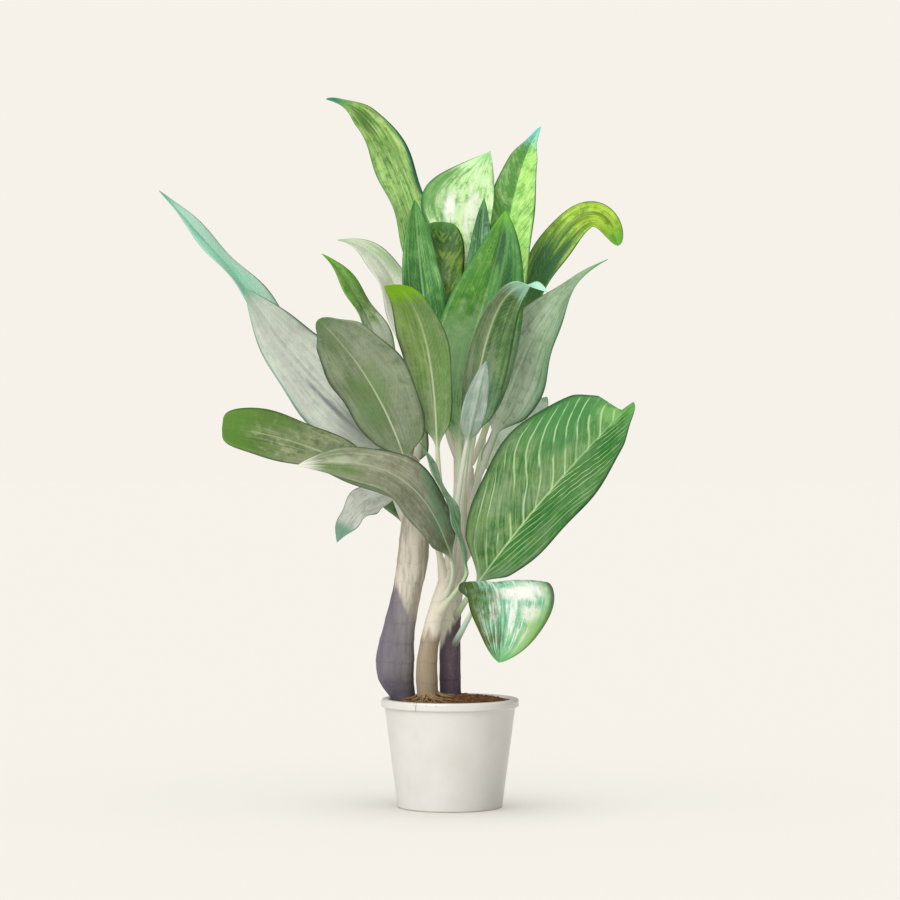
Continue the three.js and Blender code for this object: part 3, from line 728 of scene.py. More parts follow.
def leaf_tree():
    graph, given = geometry_tree("leaf", points=LEAF_POINTS, numbers=LEAF_NUMBERS, counts=["Rows"])
    math_node, smooth = graph.math, graph.smooth
    petiole, blade = leaf_curves(graph, given)
    length = graph.geo("CurveLength", (blade,))
    grid = graph.geo("MeshGrid", {
        "Size X": 1, "Size Y": 1, "Vertices X": given["Rows"] + 1, "Vertices Y": RING_STEPS + 1}, out="Mesh")
    spot = graph.geo("InputPosition")
    row = graph.part(spot, "X") + 0.5
    ring = graph.part(spot, "Y") + 0.5

    # Where along the leaf: s runs up the petiole, then t along the blade, with rows closer at both its ends.
    s = math_node("MINIMUM", row / PETIOLE_SHARE, 1)
    even = math_node("MAXIMUM", (row - PETIOLE_SHARE) / (1 - PETIOLE_SHARE), 0)
    t = math_node("MINIMUM", 0.4 * even + 0.3 * (1 - math_node("COSINE", even * math.pi)), 1)
    on_blade = row > PETIOLE_SHARE - 0.001

    # Where round the leaf: p runs from margin to margin, first below and then back above. v is p with its
    # steps drawn in towards the midrib, where the blade has its finest shape.
    p = 1 - abs(ring * 4 - 2)
    v = math_node("SIGN", p) * abs(p) ** DRAWN_IN
    lower = ring < 0.5
    face = math_node("SIGN", ring - 0.5)
    outward = abs(v)

    # The midrib's own course.
    centre, tangent = (
        graph.geo("Switch", (on_blade, at_share(graph, petiole, s, out), at_share(graph, blade, t, out)),
                  input_type="VECTOR")
        for out in ("Position", "Tangent"))
    across, out = leaf_axes(graph, given, tangent, t)

    # The flat section of the blade.
    outline = leaf_outline(graph, t, given["Base power"], given["Tip power"], given["Point"])
    half = given["Width"] / 2 * outline * (1 + given["Skew"] * math_node("SIGN", v))
    half = half * (1 - given["Notch"] * (v < 0) * smooth(t, *NOTCH))
    x = v * half
    bulge = math_node("SINE", t * math.pi)
    crease = math_node("SQRT", v * v + CREASE_SOFTNESS) - CREASE_DROP
    swing = given["Waves"] * t * (2 * math.pi) + v * RIPPLE_LAG
    ripple = math_node("SINE", swing) * given["Wave"] * v * v * bulge
    far_side = v > 0
    sweep = given["Vein sweep"] + given["Vein lag"] * far_side
    count = (t * length - abs(x) * sweep - outward ** 3 * half * 0.5) / given["Vein spacing"] + far_side * 0.4
    room = (1 - outward ** 3) * smooth(outward, 0, 0.22) * bulge
    pleat = math_node("COSINE", count * (2 * math.pi)) * given["Pleat"] * room
    rise = half * (given["Fold"] * crease - given["Curl"] * v * v) + ripple - pleat
    thick = BLADE_THICKNESS / 2 * MM * math_node("SQRT", math_node("MAXIMUM", 1 - v ** 8, 0))
    keel = hump(graph, x, (KEEL_WIDTH * (1 - t) + TIP_KEEL_WIDTH) * MM)
    keel = keel * (KEEL_DEPTH * (1 - t) + TIP_KEEL_DEPTH) * MM
    groove = hump(graph, x, GROOVE_WIDTH * MM) * (1 - t) * GROOVE_DEPTH * MM
    y = rise + face * thick - lower * keel - (1 - lower) * groove

    # The round section of the petiole, a little flat on top. It widens to the cane, inside which it closes.
    radius = graph.between(s, PETIOLE_ROOT_RADIUS, PETIOLE_END_RADIUS) * (1 - t) * MM
    radius = graph.between(smooth(s, 0.04, SHEATH_SHARE, 1, 0), radius, given["Sheath"])
    radius = radius * math_node("SQRT", math_node("MINIMUM", s / 0.05, 1))
    turn = (p + 1) * (math.pi / 2)
    flat_top = 1 - (1 - lower) * smooth(s, 0.1, 0.6) * FLAT_TOP
    round_x = math_node("COSINE", turn) * radius * -1
    round_y = math_node("SINE", turn) * radius * face * flat_top

    share = smooth(t, -0.02, SHOULDER) * on_blade
    place = centre + (across * graph.between(share, round_x, x) + out * graph.between(share, round_y, y))

    # What the finish reads is stored while the grid is still flat.
    mesh = grid
    for name, value in zip(LEAF_NOTES, (t + s - 1, v, lower, count, abs(x), given["Seed"])):
        mesh = graph.store(mesh, name, value)
    mesh = graph.geo("SetPosition", {"Geometry": mesh, "Position": place})
    mesh = graph.geo("MergeByDistance", {"Geometry": mesh, "Distance": MERGE_DISTANCE * MM})
    return end_tree(graph, mesh, given["Material"])

LEAF_TREE = leaf_tree()
print("leaf tree:", len(LEAF_TREE.nodes), "nodes")

# %% [markdown]
# ## The 29 leaves
# Each leaf grows from its own height on one of the canes. What makes it itself is a short row: where its
# blade starts, bends and ends, how wide it is, which way it leans, and a few words on its folds and its
# look. The rows are the same ones that the frame was made from, so each fine leaf lies on its node. Leaves
# at the back are a gardener's guess: no picture from the front can show them.

# %% The canes that the leaves stand on
CANES = {
    "left": [(-54, -4, 72, 11), (-57, -4, 118, 13), (-61, -5, 145, 16), (-70, -6, 172, 23.5),
             (-71, -6, 196, 24.5), (-66, -6, 232, 20.5), (-56, -6, 280, 18.5), (-48, -5, 325, 20),
             (-46, -4, 372, 17), (-47, -2, 456, 4.5)],
    "middle": [(-20, -20, 72, 11), (-27, -22, 130, 13), (-30, -23, 170, 14), (-28, -22, 205, 12.5),
               (-18, -17, 250, 11.5), (-2, -9, 300, 11), (10, -3, 345, 10.5), (13, 0, 400, 9),
               (12, 2, 455, 6.5), (10, 4, 500, 4.5)],
    "right": [(4, 14, 72, 12), (1, 14, 130, 13.7), (0, 15, 190, 13.7), (1, 18, 250, 13.5), (8, 26, 300, 11.5),
              (18, 36, 350, 10), (24, 44, 405, 7.5), (26, 48, 445, 5)],
}

def cane_point(run, z):
    """The middle of a cane at a height, and its radius there."""
    low, high = run[0], run[-1]
    for a, b in zip(run, run[1:]):
        if a[2] <= z <= b[2]:
            low, high = a, b
    share = (z - low[2]) / (high[2] - low[2])
    return [p + (q - p) * share for p, q in zip(low, high)]

print("canes:", ", ".join(f"{name} from {run[0][2]} to {run[-1][2]} mm" for name, run in CANES.items()))

# %% The leaf rows
# name, cane, root height, the blade's midrib from base to tip, width, lean, look, what else sets it apart
LEAVES = [
    # Upper crown.
    ("top_left", "middle", 380, [(-14, 74, 622), (-44, 88, 764), (-84, 96, 928.2), (-165, 72, 928)],
     70, 170, "lime", dict(roll=38, wave=5, waves=3, tip_power=0.5, point=0.6)),
    ("under_top_left", "middle", 448, [(-20, 8, 560), (-42, 4, 700), (-46, 14, 792)],
     56, 95, "dark", dict(fold=0.5)),
    ("top_centre", "middle", 425, [(34, 50, 690), (40, 58, 750), (48, 76, 800), (54, 84, 862)],
     96, 90, "lime", dict(wave=6, waves=2, skew=-0.75, base_power=1.3, tip_power=1.1)),
    ("under_top_centre", "middle", 480, [(-2, 22, 600), (-14, 30, 690), (-10, 32, 764)],
     60, 95, "dark", dict(fold=0.3, tip_power=0.35, base_power=0.9)),
    ("top_right", "right", 440, [(64, 60, 590), (68, 72, 710), (80, 94, 832), (122, 100, 896)],
     74, 75, "lime", dict(fold=0.4, wave=5, base_power=0.6, tip_power=0.8, point=0.4)),
    ("arching_right", "right", 405, [(74, 84, 545), (98, 92, 690), (184, 104, 852), (224, 88, 734)],
     60, 0, "lime", dict(roll=-38, twist=-14, tip_power=0.5, base_power=0.9)),
    # Centre.
    ("centre_tall", "middle", 390, [(12, -16, 472), (10, -20, 600), (62, -14, 680), (72, 0, 776)],
     108, 88, "green", dict(wave=5, skew=0.12)),
    ("behind_tall", "middle", 400, [(38, 2, 556), (38, 26, 700), (45, 40, 796)],
     44, 80, "dark", dict(fold=0.3, elbow=0.35)),
    ("centre_left", "middle", 325, [(-16, -46, 466), (-21, -100, 666), (-80, -148.5, 670)],
     66, -110, "olive", dict(fold=0.15, tip_power=0.5, skew=0.15)),
    ("centre_right", "middle", 345, [(24, -38, 475), (40, -60, 600), (62, -90, 706), (124, -118, 662)],
     54, -95, "olive", dict(fold=0.18, skew=-0.3)),
    ("pale_centre", "middle", 300, [(22, -66, 474), (34, -92, 530), (46, -100, 578)],
     32, -88, "silver", dict(fold=0.1, wave=2, elbow=0.3)),
    # Right side.
    ("grey_right", "right", 350, [(56, 20, 480), (90, 14, 570), (118, 4, 668), (206, 0, 712)],
     104, 0, "silver", dict(roll=-70, twist=50, base_power=0.8, tip_power=1.5)),
    ("behind_big", "right", 335, [(62, 56, 420), (92, 66, 495), (130, 90, 535)],
     84, 60, "silver", dict()),
    ("big_right", "right", 235, [(34, -14, 288), (122, -54, 414), (236.3, -56, 526)],
     150, 72, "dark", dict(fold=0.4, tip_power=0.55, base_power=0.68, roll=15, skew=-0.16, notch=0.9,
                           point=0.25, sheath=0.4)),
    ("drooping_right", "right", 200, [(32, -34, 262), (78, -98, 352), (62, -116, 194)],
     118, -72, "mint", dict(fold=0.15, skew=-0.2, tip_power=0.75, sheath=0.36)),
    # Left side.
    ("far_left", "left", 365, [(-165, 70, 548), (-306, 78, 728), (-384, 52, 806)],
     80, 180, "mint", dict(roll=20)),
    ("silver_left", "left", 372, [(-78, 14, 466), (-188, 2, 554), (-266, -12, 674)],
     110, 180, "silver", dict(roll=62, elbow=0.25, base_power=0.42)),
    ("olive_left", "left", 362, [(-56, -38, 448), (-92, -70, 560), (-168, -96, 630)],
     112, -112, "olive", dict(tip_power=0.5, point=0.3)),
    ("edge_left", "left", 385, [(-64, -1, 520), (-114, 6, 682), (-168, 12, 720)],
     66, 180, "green", dict(roll=28, elbow=0.3)),
    ("ghost_left", "left", 440, [(-42, 74, 560), (-64, 114, 740), (-152, 124, 745)],
     66, 160, "silver", dict(roll=30)),
    ("long_left", "middle", 288, [(-34, -30, 382), (-150, -56, 478), (-292, -76, 492)],
     74, 190, "olive", dict(roll=55, tip_power=0.25, base_power=0.8, elbow=0.2)),
    ("brown_left", "middle", 268, [(2, -52, 322), (-30, -84, 432), (-89, -104, 460), (-194, -110, 444)],
     82, 190, "olive", dict(roll=50, skew=-0.1)),
    ("narrow_left", "middle", 250, [(22, -58, 308), (14, -64, 362), (-6, -66, 412), (-40, -64, 476)],
     46, 200, "dark", dict(roll=30, base_power=0.7, elbow=0.15)),
    ("drooping_left", "left", 330, [(-68, -2, 400), (-112, 0, 418), (-147, -12, 343)],
     50, 180, "silver", dict(roll=50)),
    # Back, hidden from the front.
    ("back_high", "right", 398, [(18, 100, 585), (34, 148, 760), (26, 226, 775)],
     100, 90, "lime", dict()),
    ("back_middle", "right", 385, [(46, 104, 490), (60, 180, 640), (70, 265, 600)],
     100, 80, "green", dict()),
    ("back_left", "left", 345, [(-56, 58, 432), (-92, 146, 575), (-136, 236, 560)],
     96, 115, "olive", dict()),
    ("back_right", "right", 315, [(66, 84, 395), (120, 150, 490), (170, 220, 450)],
     100, 50, "dark", dict()),
    ("back_low", "left", 315, [(-60, 34, 366), (-68, 110, 440), (-80, 190, 402)],
     88, 120, "dark", dict()),
]

print("leaves:", len(LEAVES))

# %% Growing the leaves
PLAIN_LEAF = dict(roll=0, twist=0, fold=0.22, curl=0.12, wave=4, waves=2.5, base_power=0.55, tip_power=0.85,
                  point=0, notch=0, skew=0, elbow=0.5, sheath=0.74)
FROM_COAT = ("vein_spacing", "vein_sweep", "vein_lag", "pleat")
LENGTHS_IN_MM = ("width", "wave", "vein_spacing", "pleat", "sheath")
ROW_STEP = 1.9
TIP_SHORT = 1.2

def metres(point):
    return [x * MM for x in point]

def handles(midrib):
    """The four points of a Bezier curve through a midrib, which a row may give with only one bend."""
    if len(midrib) == 4:
        return [Vector(p) for p in midrib]
    base, bend, tip = (Vector(p) for p in midrib)
    return [base, base.lerp(bend, 2 / 3), tip.lerp(bend, 2 / 3), tip]

def leaf(seed, row):
    name, cane, root_height, midrib, width, lean, look, rest = row
    coat = coat_of(name, look)
    facts = {**PLAIN_LEAF, **rest, **{key: coat[key] for key in FROM_COAT}}
    facts.update(width=width, lean=lean, seed=seed)
    base, first, second, tip = handles(midrib)
    blade_length = (first - base).length + (second - first).length + (tip - second).length
    tip = tip + (second - tip).normalized() * TIP_SHORT
    *root, girth = cane_point(CANES[cane], root_height)
    facts["sheath"] *= girth
    values = {label: metres(p) for label, p in zip(LEAF_POINTS, (root, base, first, second, tip))}
    for key, value in facts.items():
        values[key.replace("_", " ").capitalize()] = value * MM if key in LENGTHS_IN_MM else float(value)
    values["Material"] = leaf_finish(name, coat)
    # The petiole takes a fifth of the rows.
    values["Rows"] = round(blade_length / ROW_STEP / 4) * 5
    piece = grow(f"leaf_{name}_fine", LEAF_TREE, values)
    settle(piece, f"leaf_{look}", f"leaf_{name}")
    return piece

for seed, row in enumerate(LEAVES):
    piece = leaf(seed, row)
    print(piece.name, "triangles, open edges, cm3:", tally(piece))

# %% [markdown]
# ## Canes
# A dieffenbachia cane is smooth and woody. Every fallen leaf left a ring round it, which is only faint on
# these. The canes could be lathed, but they lean and swell, so a tree sweeps a circle along each cane's run,
# smooths the run, and then moves the skin out at each leaf scar. A slow wobble tips the rings, as no two
# scars lie level.

# %% The cane tree
SCAR_SPACING = 26
SCAR_RELIEF = 0.02
LUMP_RELIEF = 0.04
CANE_STEP = 1.5
CANE_SIDES = 48
ROUND_END = 6

def run_curve(graph, line, resolution):
    """A smooth curve along a line of points, and the girth that the points hold."""
    curve = graph.geo("MeshToCurve", {"Mesh": line})
    curve = graph.geo("CurveSplineType", {"Curve": curve}, spline_type="CATMULL_ROM")
    curve = graph.geo("SetSplineResolution", {"Geometry": curve, "Resolution": resolution})
    girth = graph.geo("InputNamedAttribute", {"Name": "girth"}, "Attribute", data_type="FLOAT")
    return curve, girth

def swept(graph, curve, sides, girth):
    """The closed round skin of a curve."""
    circle = graph.geo("CurvePrimitiveCircle", {"Resolution": sides, "Radius": 1})
    return graph.geo("CurveToMesh", {
        "Curve": curve, "Profile Curve": circle, "Scale": girth, "Fill Caps": True})

def cane_tree():
    sizes = ["Scar spacing", "Scar relief", "Lowest", "Highest"]
    graph, given = geometry_tree("cane", numbers=sizes)
    curve, girth = run_curve(graph, given["Geometry"], 16)
    curve = graph.geo("ResampleCurve", {"Curve": curve, "Length": CANE_STEP * MM}, mode="LENGTH")
    spot = graph.geo("InputPosition")
    height = graph.part(spot, "Z")
    left_over = graph.math("MAXIMUM", (given["Highest"] - height) / (ROUND_END * MM), 0.0004)
    end = graph.math("SQRT", graph.math("MINIMUM", left_over, 1))
    keep = graph.node("GeometryNodeCaptureAttribute", {"Geometry": curve})
    keep.capture_items.new("VECTOR", "middle")
    graph.tree.links.new(spot.socket, keep.inputs["middle"])
    middle = Wire(graph, keep.outputs["middle"])
    skin = swept(graph, Wire(graph, keep.outputs["Geometry"]), CANE_SIDES, girth * end)

    # How far above a leaf scar a point lies, from 0 to 1, and how far out it grows.
    wobble = graph.cloud(spot * (30, 30, 12), 1, 2) - 0.5
    level = (height - given["Lowest"]) / given["Scar spacing"] + wobble * 0.5
    above = graph.math("FRACT", level + 0.5)
    lip = graph.smooth(above, 0, 0.05) * graph.smooth(above, 0.05, 0.6, 1, 0)
    growth = 1 + lip * given["Scar relief"] + (graph.cloud(spot, 70, 3) - 0.5) * LUMP_RELIEF
    skin = graph.store(skin, "scar", above)
    place = middle + (spot - middle) * growth
    skin = graph.geo("SetPosition", {"Geometry": skin, "Position": place})
    return end_tree(graph, skin, given["Material"])

CANE_TREE = cane_tree()
print("cane tree:", len(CANE_TREE.nodes), "nodes")

# %% [markdown]
# ## Bark
# The foot of each cane is old bark, grey with a purple cast, and darker and bluer towards the soil. Higher up
# the bark gives way to pale sheaths, the bases of petioles that still wrap the stem, along a border that runs
# aslant.
# The colour therefore changes with height, over streaks that run up the cane, and each leaf scar is a thin
# dark line. The left side of each cane is painted darker with the foot's tint, as painted shade.

# %% The bark finish
FOOT_TOP = 150
FOOT_FADE = 35
BORDER = 9

def bark_finish(name, foot, bark, streak, sheath, change, slope=0, middle=0):
    """change is the height where bark gives way to sheath at x = middle, and slope tips that border."""
    material, graph, shader = finish(name, Specular_IOR_Level=0.35)
    smooth, cloud = graph.smooth, graph.cloud
    place = object_place(graph)
    height = graph.part(place, "Z")
    scar = stored(graph, "scar")
    grain = cloud(place * (110, 110, 14), 1, 6, 0.6)
    patch = cloud(place, 55)
    fine = cloud(place * (600, 600, 140), 1)
    pores = graph.wire("ShaderNodeTexVoronoi", {"Vector": place * (260, 260, 420), "Scale": 1}, "Distance")
    cream = layers(graph, tint(sheath), (smooth(grain, 0.42, 0.62), "#d3ccbe"))
    aside = graph.part(place, "X") - middle * MM
    # The bark is darker towards the soil, with the foot's tint.
    darker_near_soil = smooth(height + (patch - 0.5) * (30 * MM), FOOT_TOP * MM, (FOOT_TOP + FOOT_FADE) * MM, 0.85, 0)
    raised = height - aside * slope + (grain - 0.5) * (50 * MM)
    ring = smooth(scar, 0, 0.07, 1, 0) + smooth(scar, 0.93, 1)
    colour = layers(graph, tint(bark),
                    (smooth(grain, 0.35, 0.7), streak),
                    (darker_near_soil, foot),
                    # Painted shade: the side left of x = middle takes the foot's dark tint.
                    (smooth(aside, -20 * MM, 6 * MM, 0.7, 0), foot),
                    (smooth(raised, (change - BORDER) * MM, (change + BORDER) * MM), cream),
                    (ring * 0.22, "#3b3230"),
                    (smooth(pores, 0.1, 0.25, 0.15, 0), "#cbbfae"))
    relief = grain * 0.5 + fine * 0.4 - ring * 0.2
    dress(graph, shader, colour, 0.55 + fine * 0.3, relief, 0.8 * MM, strength=0.8)
    return material

BARKS = {
    "left": bark_finish("grey_purple_bark", "#565160", "#9c9697", "#7f7a80", "#a9a194", 259, -1.7, -55),
    "middle": bark_finish("tan_bark", "#94846e", "#a99c88", "#8b7f6d", "#d0cabb", 226),
    # The right cane's dark purple-brown is partly its own old bark and partly painted shade, for the dark
    # hollow at the foot of the crown.
    "right": bark_finish("purple_brown_bark_and_shade", "#4a3f50", "#62545e", "#4c4048", "#c0bfae", 231, 1.9),
}
print("bark finishes:", len(BARKS))

# %% Growing the canes
SLOT_OF_CANE = {"left": "dark_bark", "middle": "pale_bark", "right": "dark_bark"}

def run_mesh(name, points, girths, edges=None):
    """Points with a girth each, for a tree to follow, in one line where no edges are given."""
    mesh = bpy.data.meshes.new(name)
    one_line = [(i, i + 1) for i in range(len(points) - 1)]
    mesh.from_pydata([metres(p) for p in points], edges or one_line, [])
    mesh.attributes.new("girth", "FLOAT", "POINT").data.foreach_set("value", metres(girths))
    return mesh

for name, run in CANES.items():
    start = run_mesh(f"cane_{name}_run", [p[:3] for p in run], [p[3] for p in run])
    facts = {"Scar spacing": SCAR_SPACING * MM, "Scar relief": SCAR_RELIEF, "Lowest": run[0][2] * MM,
             "Highest": run[-1][2] * MM, "Material": BARKS[name]}
    piece = grow(f"cane_{name}_fine", CANE_TREE, facts, start)
    settle(piece, SLOT_OF_CANE[name], f"cane_{name}")
    print(piece.name, tally(piece))

# %% [markdown]
# ## Pot
# The pot was turned: a plain tapered wall, a thicker rim with rounded edges and a flat base. A lathe is the
# natural way, so its outline is spun round the axis. Only the corners of the outline are given, each with the
# fillet that softens it.

# %% The pot's sizes
POT_HEIGHT = 141
RIM_FOOT = 130
RIM_RADIUS = 89.5
MOUTH_RADIUS = 79
INNER_TOP = 124
BASE_RADIUS = 68.5
WALL_TOP_RADIUS = 85
WALL = 6
FLOOR_THICKNESS = 9

def wall_radius(z):
    """The outside of the pot's wall at a height."""
    return BASE_RADIUS + (WALL_TOP_RADIUS - BASE_RADIUS) * z / RIM_FOOT

def hollow(z, gap=0):
    """A point of the pot's inside at a height, or of what stands in it a gap away."""
    return wall_radius(z) - WALL - gap, z

print("pot:", POT_HEIGHT, "mm high and", 2 * RIM_RADIUS, "mm across")

# %% Lathe
POT_SIDES = 160
SOIL_SIDES = 120
FILLET_STEPS = 6

def rounded(corners):
    """The points of an outline whose corners (radius, height, fillet) are softened by short curves."""
    points = []
    for i, (r, z, fillet) in enumerate(corners):
        here = Vector((r, z))
        if not fillet:
            points.append(here)
            continue
        before = Vector(corners[i - 1][:2])
        after = Vector(corners[i + 1][:2])
        start = here + (before - here).normalized() * fillet
        end = here + (after - here).normalized() * fillet
        for k in range(FILLET_STEPS + 1):
            s = k / FILLET_STEPS
            points.append(start * (1 - s) ** 2 + here * (2 * s * (1 - s)) + end * s * s)
    return points

def lathe(name, outline, sides):
    """Spins an outline that starts and ends on the axis, and closes it there with a single point."""
    shape = bmesh.new()
    rings = []
    for r, z in outline:
        turns = [2 * math.pi * j / sides for j in range(sides)] if r else [0]
        rings.append([shape.verts.new(metres((r * math.cos(a), r * math.sin(a), z))) for a in turns])
    for a, b in zip(rings, rings[1:]):
        for j in range(sides):
            k = (j + 1) % sides
            corners = [a[j % len(a)], a[k % len(a)], b[k % len(b)], b[j % len(b)]]
            shape.faces.new(list(dict.fromkeys(corners)))
    bmesh.ops.recalc_face_normals(shape, faces=shape.faces)
    for face in shape.faces:
        face.smooth = True
    mesh = bpy.data.meshes.new(name)
    shape.to_mesh(mesh)
    shape.free()
    piece = bpy.data.objects.new(name, mesh)
    bpy.context.scene.collection.objects.link(piece)
    return piece

print("helpers: outlines and lathe")

# %% [markdown]
# ## Glaze
# White glaze is not quite white: it is a little thinner and warmer where it breaks over an edge, it has
# faint clouds, and the foot that stood on the kiln shelf is bare and rough. Splashes of soil dull the inside
# of the rim.

# %% The glaze finish and the pot
def glaze_finish():
    material, graph, shader = finish("white_glaze", Coat_Weight=0.25, Coat_Roughness=0.12)
    smooth = graph.smooth
    place = object_place(graph)
    height = graph.part(place, "Z")
    reach = graph.vector("LENGTH", graph.combine(graph.part(place, "X"), graph.part(place, "Y"), 0))
    clouds = graph.cloud(place, 22, 5)
    specks = graph.cloud(place, 900, 2)
    edge = (smooth(height, (POT_HEIGHT - 2.5) * MM, (POT_HEIGHT - 0.5) * MM)
            * smooth(reach, (RIM_RADIUS - 3) * MM, RIM_RADIUS * MM))
    splash = (smooth(reach, (MOUTH_RADIUS - 0.5) * MM, (MOUTH_RADIUS + 4) * MM, 1, 0)
              * smooth(height, (INNER_TOP - 4) * MM, (INNER_TOP + 10) * MM))
    foot = smooth(height, 1.2 * MM, 2.6 * MM, 1, 0)
    colour = layers(graph, tint("#d9d8d5"),
                    (smooth(clouds, 0.35, 0.7), "#d2d1cd"),
                    (edge * 0.5, "#efece4"),
                    (smooth(specks, 0.72, 0.8) * 0.35, "#b9b2a6"),
                    (splash * smooth(clouds + specks * 0.4, 0.5, 0.8) * 0.7, "#8a6a4a"),
                    (foot * 0.8, "#d8cbb8"))
    rough = 0.28 + clouds * 0.14 + foot * 0.4
    dress(graph, shader, colour, rough, clouds * 0.6 + specks * 0.15, 0.6 * MM, strength=0.35)
    return material

# radius, height and fillet of each corner: up the outside, over the rim and down the inside
POT_OUTLINE = [
    (0, 0, 0), (BASE_RADIUS - 0.6, 0, 1.8), (WALL_TOP_RADIUS, RIM_FOOT, 1.2),
    (RIM_RADIUS, RIM_FOOT + 0.6, 1.6), (RIM_RADIUS - 0.2, POT_HEIGHT, 3.4), (MOUTH_RADIUS, POT_HEIGHT, 3),
    (*hollow(INNER_TOP), 2), (*hollow(FLOOR_THICKNESS), 3), (0, FLOOR_THICKNESS, 0),
]
pot = lathe("pot_fine", rounded(POT_OUTLINE), POT_SIDES)
pot.data.materials.append(glaze_finish())
settle(pot, "glaze", "pot")
reserve(overhead, "blocker", [floor, pot])
print("pot:", tally(pot))

# %% [markdown]
# ## Soil
# Potting mix is crumbly: fine dark peat with a few lumps and flakes of bark. The body is lathed and its top
# pushed about with noise. The crumbs repeat hundreds of times, so a tree scatters small stones with few faces
# over the top, and each kind of crumb is one piece with its own finish.

# %% The soil's body
SOIL_EDGE = 137.5
SOIL_TOP = 145.5
SOIL_RADIUS = 78.2
MOUND_RADIUS = 76
SOIL_RINGS = 22
SOIL_GAP = 0.3
SOIL_BUMPS = 1.6

def soil_height(r):
    """The height of the soil's top at a distance from the pot's axis."""
    return SOIL_EDGE + (SOIL_TOP - SOIL_EDGE) * (1 - min(1, r / MOUND_RADIUS) ** 2)

def soil_finish(name, dark, mid, light, light_share):
    material, graph, shader = finish(name, Specular_IOR_Level=0.2)
    place = object_place(graph)
    clods = graph.cloud(place, 160, 6, 0.65)
    dust = graph.cloud(place, 900, 3)
    colour = layers(graph, tint(dark),
                    (graph.smooth(clods, 0.3, 0.62), mid),
                    (graph.smooth(dust, 0.55, 0.75) * light_share, light))
    dress(graph, shader, colour, 0.8 + dust * 0.2, clods + dust * 0.5, 1.5 * MM, strength=0.9)
    return material

soil_floor = FLOOR_THICKNESS + SOIL_GAP
ring_radii = [SOIL_RADIUS * (1 - k / SOIL_RINGS) for k in range(1, SOIL_RINGS + 1)]
soil = lathe("soil_fine", [
    (0, soil_floor), (hollow(FLOOR_THICKNESS, SOIL_GAP)[0], soil_floor), hollow(INNER_TOP, SOIL_GAP),
    (SOIL_RADIUS, SOIL_EDGE), *((r, soil_height(r)) for r in ring_radii)], SOIL_SIDES)
for vertex in soil.data.vertices:
    r = math.hypot(vertex.co.x, vertex.co.y) / MM
    if vertex.co.z > (SOIL_EDGE - 1) * MM and r < SOIL_RADIUS - 1:
        vertex.co.z += noise.fractal(vertex.co * 90, 1, 2, 4) * SOIL_BUMPS * MM
soil.data.materials.append(soil_finish("dark_potting_mix", "#3a2417", "#6b482c", "#9a7450", 0.4))
settle(soil, "potting_soil", "soil")
print("soil:", tally(soil))

# %% The crumb tree
def crumb_tree():
    sizes = ["Density", "Smallest", "Largest", "Flatness", "Length"]
    graph, given = geometry_tree("crumbs", numbers=sizes, counts=["Seed"])
    normal = graph.geo("InputNormal")
    spot = graph.geo("InputPosition")
    level = graph.part(normal, "Z") > 0.6
    high = graph.part(spot, "Z") > (SOIL_EDGE - 2) * MM
    points = graph.geo("DistributePointsOnFaces", {
        "Mesh": given["Geometry"], "Selection": level * high, "Density": given["Density"],
        "Seed": given["Seed"]}, distribute_method="RANDOM")
    stone = graph.geo("MeshIcoSphere", {"Radius": 0.5, "Subdivisions": 2}, out="Mesh")
    shape = graph.combine(given["Length"], 1, given["Flatness"])
    stone = graph.geo("Transform", {"Geometry": stone, "Scale": shape})
    spin = graph.wire("FunctionNodeRandomValue", {
        "Min": (-0.4, -0.4, 0), "Max": (0.4, 0.4, 6.28), "Seed": given["Seed"]}, data_type="FLOAT_VECTOR")
    size = graph.wire("FunctionNodeRandomValue", {
        "Min": given["Smallest"], "Max": given["Largest"], "Seed": given["Seed"] + 1}, data_type="FLOAT")
    crumbs = graph.geo("InstanceOnPoints", {
        "Points": points, "Instance": stone, "Rotation": spin, "Scale": size})
    crumbs = graph.geo("RealizeInstances", {"Geometry": crumbs})
    broken = graph.wire("ShaderNodeTexNoise", {"Vector": spot, "Scale": 900, "Detail": 1}, out="Color")
    push = graph.vector("SUBTRACT", broken, (0.5, 0.5, 0.5)) * (given["Largest"] * 0.8)
    crumbs = graph.geo("SetPosition", {"Geometry": crumbs, "Offset": push})
    return end_tree(graph, crumbs, given["Material"])

# kind, crumbs per square metre, smallest, largest, flatness, length, seed, finish tints
CRUMBS = [
    ("soil_crumbs", 90000, 0.9, 2.6, 0.7, 1.1, 3, ("#2e1c12", "#7a5334", "#a58058", 0.3)),
    ("bark_flakes", 6500, 2.6, 5.2, 0.35, 1.7, 11, ("#4a2d1b", "#8a6242", "#b08a62", 0.4)),
]
CRUMB_TREE = crumb_tree()
for kind, density, smallest, largest, flatness, long_side, seed, tones in CRUMBS:
    facts = {"Density": float(density), "Smallest": smallest * MM, "Largest": largest * MM,
             "Flatness": flatness, "Length": long_side, "Seed": seed, "Material": soil_finish(kind, *tones)}
    piece = grow(kind, CRUMB_TREE, facts, soil.data.copy())
    settle(piece, "potting_soil")
    print(kind, tally(piece))

# %% [markdown]
# ## Rootlets
# At the foot of the tan cane thin roots have pushed out of the soil. They creep over it, and a few reach
# over the rim in front. Hair curves would vanish at this size, so each root is a run of points that keeps to
# the ground below it, and a tree gives it its round, tapering body.

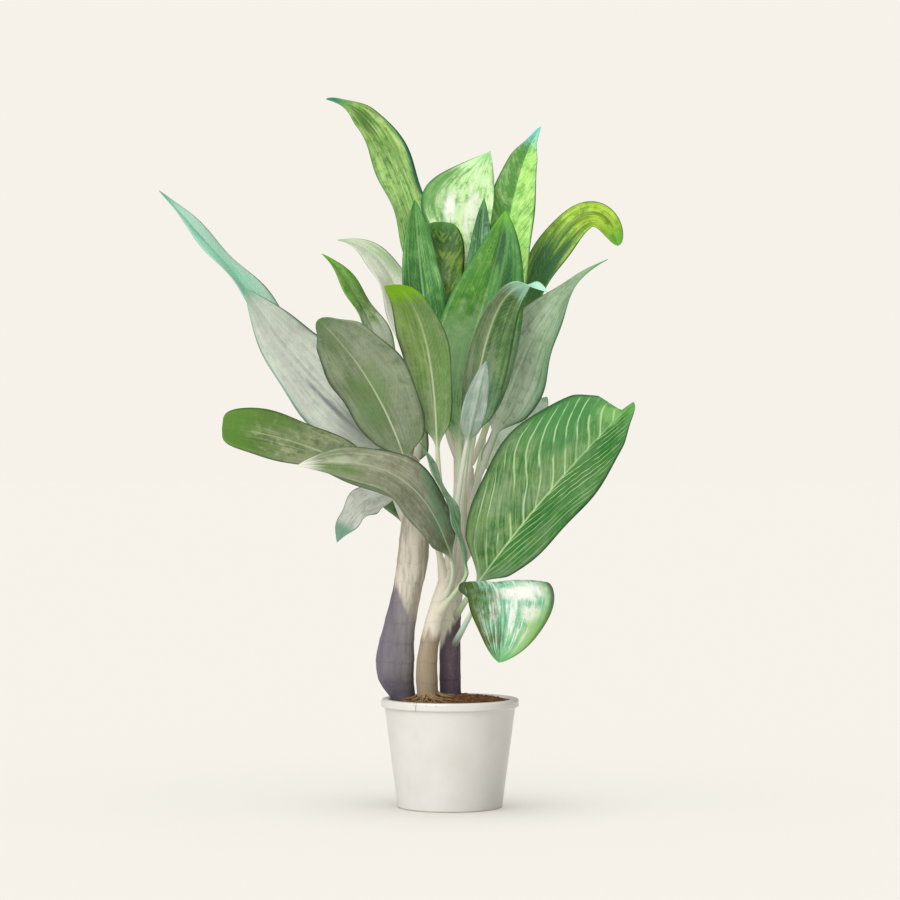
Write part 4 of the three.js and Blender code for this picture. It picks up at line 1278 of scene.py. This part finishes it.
# %% The root tree and the rootlets
ROOT_STEPS = 26
ROOT_COUNT = 54
ROOT_CENTRE = (-28, -22)
ROOT_RING = 11
RIM_TURN = 87.5
FARTHEST_ROOT = 91.2
ROOT_LIFT = 6
ROOT_ARCH = 1.2
ROOT_CLEARANCE = 0.8
SOIL_CLEARANCE = 0.4
LARGEST_TURN = 0.22
HANGING_PACE = 0.25
FRONT = (-112, -72)
FRONT_LENGTHS = (34, 66)
LENGTHS = (14, 28)
GIRTHS = (0.55, 0.95)

def ground(r):
    """How high the ground is at a distance from the pot's axis: soil, then the rim, then down outside it."""
    if r < SOIL_RADIUS - 1:
        return soil_height(r) + SOIL_CLEARANCE
    return POT_HEIGHT - max(0, r - RIM_TURN) * 2

def root_run(rng, centre, heading, length):
    """A root that leaves the cane's foot and creeps away, turning a little as it goes."""
    points = []
    x, y = centre
    for k in range(ROOT_STEPS):
        s = k / (ROOT_STEPS - 1)
        r = math.hypot(x, y)
        hang = min(r, FARTHEST_ROOT)
        lift = ROOT_LIFT * (1 - s) ** 4
        if r < WALL_TOP_RADIUS - 1:
            lift += ROOT_ARCH * abs(math.sin(k * 0.9 + heading))
        points.append((x * hang / r, y * hang / r, ground(r) + ROOT_CLEARANCE + lift))
        heading += rng.uniform(-LARGEST_TURN, LARGEST_TURN)
        pace = length / ROOT_STEPS * (1 if r < RIM_TURN else HANGING_PACE)
        x += math.cos(heading) * pace
        y += math.sin(heading) * pace
    return points

def root_tree():
    graph, given = geometry_tree("roots")
    curve, girth = run_curve(graph, given["Geometry"], 2)
    curve = graph.geo("ResampleCurve", {"Curve": curve}, mode="EVALUATED")
    return end_tree(graph, swept(graph, curve, 8, girth), given["Material"])

def root_mesh():
    rng = random.Random(5)
    points, edges, girths = [], [], []
    for k in range(ROOT_COUNT):
        front = k % 3 == 0
        heading = math.radians(rng.uniform(*FRONT) if front else rng.uniform(0, 360))
        foot = [c + ROOT_RING * turn(heading) for c, turn in zip(ROOT_CENTRE, (math.cos, math.sin))]
        run = root_run(rng, foot, heading, rng.uniform(*(FRONT_LENGTHS if front else LENGTHS)))
        first = len(points)
        points += run
        edges += [(first + i, first + i + 1) for i in range(len(run) - 1)]
        thick = rng.uniform(*GIRTHS)
        girths += [thick * (1 - 0.75 * i / len(run)) for i in range(len(run))]
    return run_mesh("root_runs", points, girths, edges)

root_finish = soil_finish("tan_root", "#75603f", "#a1875f", "#c9b48e", 0.5)
roots = grow("rootlets", root_tree(), {"Material": root_finish}, root_mesh())
settle(roots, "pale_bark")
print("rootlets:", tally(roots))

# %% [markdown]
# ## Sizes
# The dressed plant's box is printed, axis by axis. The dressed plant must keep to the frame's own
# box.

# %% Measure and finish
new_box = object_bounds()
for label, low, high in zip("xyz", *new_box):
    print(label, "from", round(low, 4), "to", round(high, 4))
